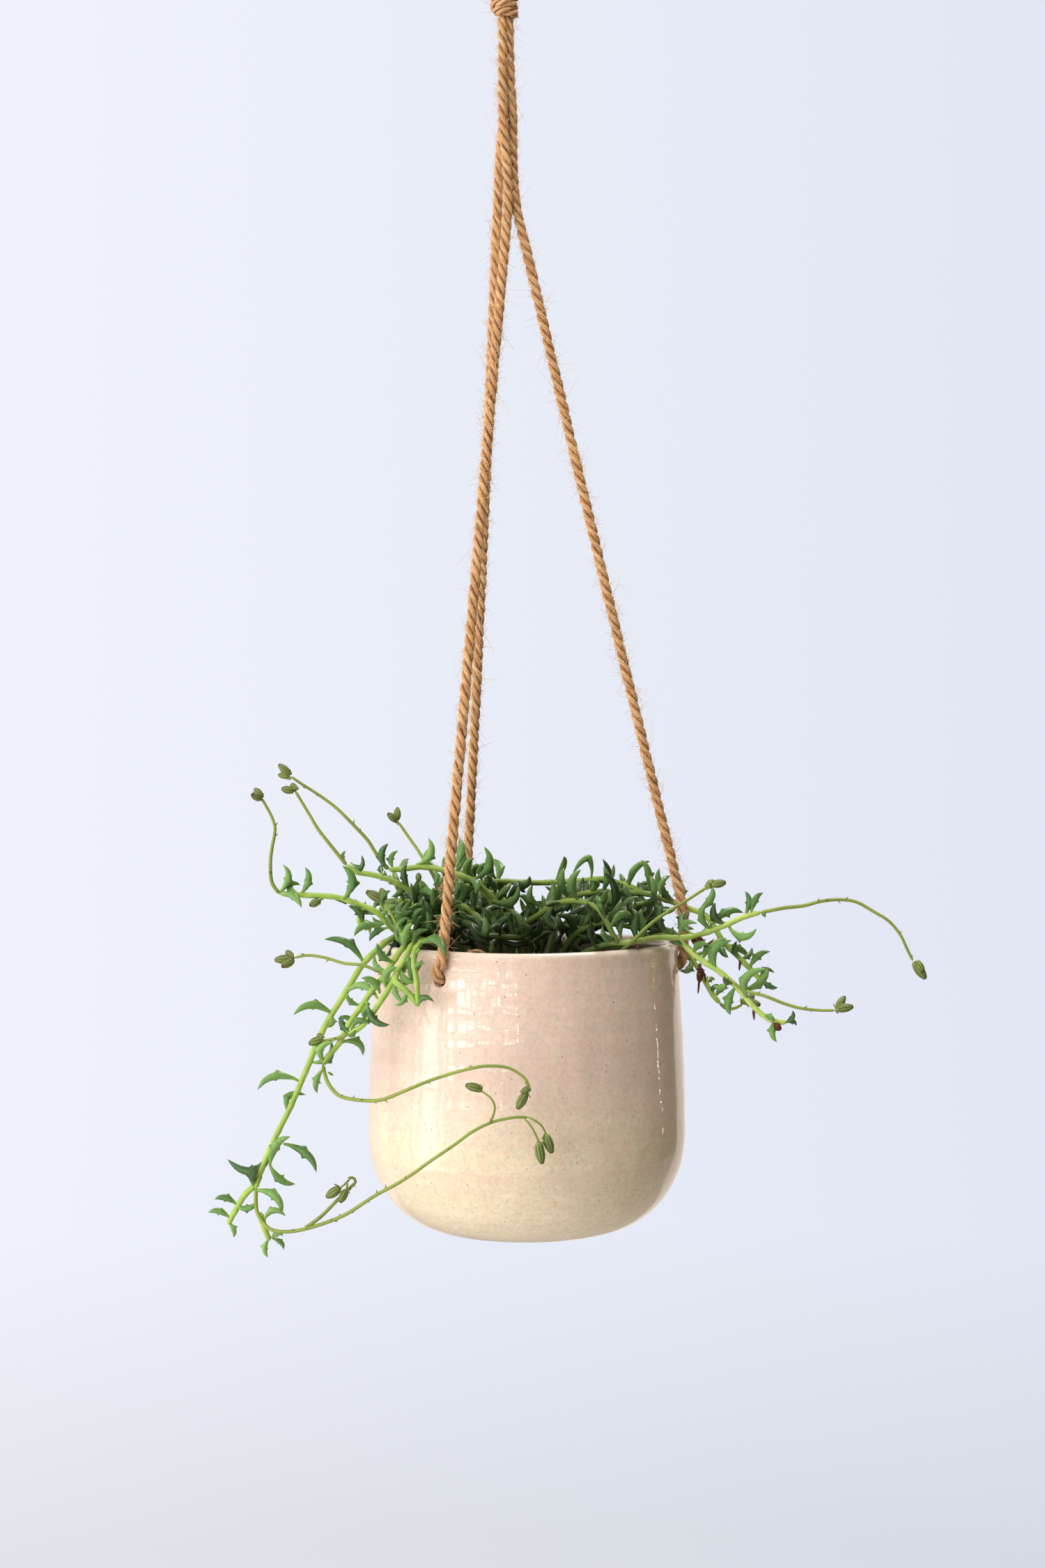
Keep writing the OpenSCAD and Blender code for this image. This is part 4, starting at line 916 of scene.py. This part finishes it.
def lathe(name, profile, m, wall=None):
    """Turns (radius, height) pairs; wall(angle, r, z) gives a point's own radius and its rise."""
    bm = bmesh.new()
    loops = []
    for r, z in profile:
        if r < 1e-6:
            loops.append([bm.verts.new((AXIS_X, 0, RIM_Z + z / 1000))])
            continue
        row = []
        for j in range(m):
            a = 2 * math.pi * j / m
            q, dz = wall(a, r, z) if wall else (r, 0.0)
            x, y = q / 1000 * math.cos(a), q / 1000 * math.sin(a)
            row.append(bm.verts.new((AXIS_X + x, y, RIM_Z + (z + dz) / 1000)))
        loops.append(row)
    for a, b in zip(loops, loops[1:]):
        for j in range(m):
            k = (j + 1) % m
            if len(a) == 1:
                bm.faces.new((a[0], b[j], b[k]))
            elif len(b) == 1:
                bm.faces.new((a[j], b[0], a[k]))
            else:
                bm.faces.new((a[j], b[j], b[k], a[k]))
    bmesh.ops.recalc_face_normals(bm, faces=bm.faces)
    mesh = bpy.data.meshes.new(name)
    bm.to_mesh(mesh)
    bm.free()
    mesh.polygons.foreach_set("use_smooth", [True] * len(mesh.polygons))
    obj = bpy.data.objects.new(name, mesh)
    bpy.context.scene.collection.objects.link(obj)
    return obj


def thrown(a, r, z):
    """The slight unevenness of a hand-thrown wall."""
    wave, drift = 0.22 * math.sin(2 * a + 0.8), 0.12 * math.sin(3 * a - z / 40)
    q = r + wave + drift + 0.05 * math.sin(z / 2.3 + 0.6 * math.sin(a))
    lip = 0.25 * math.sin(2 * a + 1.9) + 0.12 * math.sin(5 * a) if z > -7 else 0.0
    return (q if r > 30 else r), lip


# from the middle of the underside over the foot ring, up the outside, over the lip and down the inside
outer = [(0, 1.6), (20, 1.6), (FOOT_R - 5, 1.4), (FOOT_R - 3.6, 0.3), (FOOT_R - 2, 0), (FOOT_R - 0.6, 0),
         (FOOT_R + 1, 0.5)]
outer = [(r, -POT_H + z) for r, z in outer] + lower(0, 30)[27::-1] + [(POT_R, -BELLY)]
outer += [(out_r(z), z) for z in np.arange(-BELLY + 2, -6, 2.0)]
outer += [(RIM_R + r, z) for r, z in (
    (0, -6), (0.2, -4), (0.3, -2.6), (0.15, -1.6), (-0.2, -0.9), (-0.7, -0.4), (-1.3, -0.1), (-1.9, 0),
    (-2.5, 0), (-3.2, -0.2), (-3.8, -0.5), (-4.3, -1.1), (-4.7, -1.8), (-4.9, -2.9), (-WALL, -4))]
outer += [(out_r(z) - WALL, z) for z in np.arange(-8, -BELLY, -4.0)]
outer += [(POT_R - WALL, -BELLY)] + lower(WALL, 18) + [(0, -POT_H + WALL)]
pot = lathe("pot_look", outer, 240, thrown)
cutters = []
for turn in HOLE_TURNS:
    bpy.ops.mesh.primitive_cylinder_add(vertices=40, radius=HOLE_R, depth=0.024)
    c = bpy.context.object
    a = math.radians(turn)
    # drilled from outside, its axis across the wall
    way = Vector((math.sin(a), -math.cos(a), 0))
    c.rotation_mode = "QUATERNION"
    c.rotation_quaternion = way.to_track_quat("Z", "Y")
    c.location = Vector((AXIS_X, 0, RIM_Z - HOLE_DROP)) + way * 0.064
    cutters.append(c)
for c in cutters:
    b = pot.modifiers.new("hole", "BOOLEAN")
    b.operation, b.solver, b.object = "DIFFERENCE", "EXACT", c
# the holes' mouths are softened
soft = pot.modifiers.new("mouths", "BEVEL")
soft.width, soft.segments, soft.limit_method, soft.angle_limit = 0.0006, 2, "ANGLE", math.radians(50)
bpy.context.view_layer.update()
cut = bpy.data.meshes.new_from_object(pot.evaluated_get(bpy.context.evaluated_depsgraph_get()))
pot.modifiers.clear()
pot.data = cut
for c in cutters:
    bpy.data.objects.remove(c)
pot.data.materials.clear()
pot.data.materials.append(GLAZE)
cut.polygons.foreach_set("material_index", [0] * len(cut.polygons))
cut.polygons.foreach_set("use_smooth", [True] * len(cut.polygons))
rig.ride(pot, "root")
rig.replaces(pot, "pot")
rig.slot(pot, "glaze")

bumps = rng.normal(0, 1, (40, 40))


def crumble(a, r, z):
    """Lumps on the soil's surface, from the bumps of a 4 mm grid."""
    if z < -30:
        return r, 0.0
    x, y = r * math.cos(a) / 4 + 20, r * math.sin(a) / 4 + 20
    i, j = int(x) % 39, int(y) % 39
    fx, fy = x - int(x), y - int(y)
    near = bumps[i, j] * (1 - fx) + bumps[i + 1, j] * fx
    far = bumps[i, j + 1] * (1 - fx) + bumps[i + 1, j + 1] * fx
    return r, 0.9 * (near * (1 - fy) + far * fy) - 0.6


ground = [(0, -SOIL_DROP)]
ground += [(r, -SOIL_DROP - 0.1 - (r / 62) ** 2 * 2.0) for r in np.arange(1.5, 61.6, 1.5)]
ground += [(out_r(-24) - SOIL_GAP, -24), (out_r(-50) - SOIL_GAP, -50), (POT_R - SOIL_GAP, -BELLY)]
ground += lower(SOIL_GAP, 8) + [(0, -POT_H + SOIL_GAP)]
soil = lathe("soil_look", ground, 160, crumble)
soil.data.materials.append(SOIL)
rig.ride(soil, "root")
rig.replaces(soil, "potting_soil")
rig.slot(soil, "soil")

# ---------------------------------------------------------------- stage and light
ROOM_R, FLOOR_Z, COVE, DOME_Z = 2.6, -1.35, 0.8, 2.6


def backdrop_material():
    """A pale wall, lit from the left, a little darker to the right and below."""
    add, ramp, mix, math_, done = material("wall")
    geo = add("NewGeometry")
    sep = add("SeparateXYZ", {"Vector": geo.outputs["Position"]})
    across = math_("MULTIPLY_ADD", sep.outputs[0], 0.6, 0.5, clamp=True)
    height = math_("MULTIPLY_ADD", off_axis(add, sep), 0.6, 0.27)
    up = math_("MULTIPLY", math_("ADD", height, sep.outputs[2]), 1.6, clamp=True)
    top = mix(across, srgb(239, 242, 251), srgb(225, 230, 243))
    low = mix(across, srgb(227, 229, 234), srgb(212, 217, 226))
    return done(add("Emission", {"Color": mix(up, low, top), "Strength": 1.0}))


# a floor that rises into the wall through a cove, and a dome over it
profile = [(0.0, FLOOR_Z)]
profile += [(ROOM_R - COVE + COVE * math.sin(x), FLOOR_Z + COVE * (1 - math.cos(x)))
            for x in np.linspace(0, math.pi / 2, 14)]
profile += [(ROOM_R, 1.0), (ROOM_R, DOME_Z)]
profile += [(ROOM_R * math.cos(x), DOME_Z + ROOM_R * 0.7 * math.sin(x))
            for x in np.linspace(0.2, math.pi / 2 - 0.02, 8)]
room = lathe("room", [(r * 1000, (z - RIM_Z) * 1000) for r, z in profile], 64)
room.data.materials.append(backdrop_material())
room.visible_diffuse = room.visible_glossy = room.visible_shadow = False
room.visible_transmission = False
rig.stage(room)

world = bpy.data.worlds.new("world")
world.use_nodes = True
world.node_tree.nodes["Background"].inputs["Color"].default_value = (1.0, 0.90, 0.69, 1)
world.node_tree.nodes["Background"].inputs["Strength"].default_value = 0.20
bpy.context.scene.world = world

HEART = (0.0, 0.0, -0.46)  # the middle of the crown, which most lights face
LIGHTS = (  # name, place, target, width, height, watts, colour, seen in the glaze
    ("floor_bounce", (-0.35, -0.25, -1.25), (0.0, 0.0, -0.55), 1.5, 1.3, 7, (1.0, 0.99, 0.96), False),
    ("key", (-1.25, -1.30, 0.25), HEART, 2.4, 2.3, 61, (1.0, 0.98, 0.985), False),
    ("back_fill", (-0.9, 1.3, 0.3), HEART, 1.2, 1.2, 8, (1.0, 0.98, 0.95), False),
    ("left_fill", (-1.6, 0.15, -0.35), HEART, 1.4, 1.4, 6, (1.0, 0.98, 0.95), False),
    ("top", (0.32, 0.12, 0.78), (0.06, 0.0, -0.46), 0.45, 0.45, 11, (1.0, 0.985, 0.95), True),
)
for name, at, to, w, h, power, color, mirrored in LIGHTS:
    light = bpy.data.lights.new(name, "AREA")
    light.shape, light.size, light.size_y, light.energy, light.color = "RECTANGLE", w, h, power, color
    lamp = bpy.data.objects.new(name, light)
    lamp.location = at
    lamp.rotation_euler = (Vector(to) - Vector(at)).to_track_quat("-Z", "Y").to_euler()
    lamp.visible_glossy = mirrored
    bpy.context.scene.collection.objects.link(lamp)

PANES_R = 2.3
LOW_FLOOR_Z, LOW_FLOOR, LOW_FLOOR_GLOW = -1.6, 3, 0.5


def panes(name, cells):
    """Bright panels that only the glaze mirrors: (from, to) degrees right of the front, low, high, strength."""
    add, ramp, mix, math_, done = material(name)
    glow = add("Attribute", attribute_name="glow")
    shine = add("Emission", {"Color": (*srgb(255, 240, 226), 1), "Strength": glow.outputs["Fac"]})
    quads = []
    for a0, a1, z0, z1, g in cells:
        corner = [(math.radians(a), z) for a, z in ((a0, z0), (a1, z0), (a1, z1), (a0, z1))]
        quads.append(([(AXIS_X + PANES_R * math.sin(a), -PANES_R * math.cos(a), z) for a, z in corner], g))
    # and a dim floor below them
    signs = ((-1, -1), (1, -1), (1, 1), (-1, 1))
    quads.append(([(LOW_FLOOR * x, LOW_FLOOR * y, LOW_FLOOR_Z) for x, y in signs], LOW_FLOOR_GLOW))
    mesh = bpy.data.meshes.new(name)
    faces = [tuple(range(4 * k, 4 * k + 4)) for k in range(len(quads))]
    mesh.from_pydata([p for quad, _ in quads for p in quad], [], faces)
    glows = [g for _, g in quads for _ in range(4)]
    mesh.attributes.new("glow", "FLOAT", "POINT").data.foreach_set("value", glows)
    mesh.materials.append(done(shine))
    obj = bpy.data.objects.new(name, mesh)
    bpy.context.scene.collection.objects.link(obj)
    obj.visible_camera = obj.visible_diffuse = obj.visible_shadow = obj.visible_transmission = False
    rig.stage(obj)


# a tall window at the left in uneven sashes behind a thin curtain
cells = [(-176, -118, -1.6, 1.6, 0.9), (-104, -92, -1.6, 1.6, 0.8), (-88, -83, -1.6, 1.6, 2.0),
         (-79, -66, -1.5, -0.49, 3.4), (-77, -70, -0.48, 1.6, 2.6)]
SASHES = (  # left edge and width in degrees, low, high, strength
    (-63, 2.5, -1.20, -0.55, 3.0), (-58, 5.0, -0.59, -0.49, 8.0), (-57, 3.0, -0.72, -0.62, 4.0),
    (-51, 4.5, -0.44, -0.36, 7.0), (-51, 5.5, -0.57, -0.48, 9.0), (-45, 3.5, -0.43, -0.35, 8.0),
    (-44, 6.0, -0.56, -0.50, 8.0), (-48, 8.0, -0.74, -0.71, 4.5), (-39, 3.0, -0.42, -0.37, 7.0),
    (-54, 2.0, -0.34, -0.10, 3.0),
)
cells += [(a, a + w, low_z, top_z, g) for a, w, low_z, top_z, g in SASHES]
# small panes nearer the front, in three rows of which the lowest is nearly empty
for z, share in ((-0.430, 0.85), (-0.530, 0.7), (-0.72, 0.25)):
    for col in range(8):
        if rng.uniform() < share:
            a = -33 + col * 3.7 + rng.uniform(-0.6, 0.6)
            cells.append((a, a + rng.uniform(1.6, 3.0), z, z + rng.uniform(0.022, 0.040),
                          float(rng.uniform(5.0, 9.0))))
# at the right a dim wall, then a dark doorway with small lamps beside it, then a pale wall again
cells += [(56, 102, -1.6, 1.6, 0.35), (136, 178, -1.6, 1.6, 0.9)]
LAMPS = (  # left edge in degrees, low, height, strength
    (104, -0.46, 0.05, 12.0), (108, -0.565, 0.02, 9.0), (109, -0.60, 0.03, 7.0), (108.5, -0.67, 0.02, 9.0),
    (109.5, -0.73, 0.045, 5.0), (109, -0.785, 0.02, 8.0), (110, -0.86, 0.04, 5.0),
)
cells += [(a, a + 1.8, z, z + high, g) for a, z, high, g in LAMPS]
panes("windows", cells)

size["visual"] = [list(p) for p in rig.bounds()]
with open("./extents.json", "w") as f:
    json.dump(size, f)
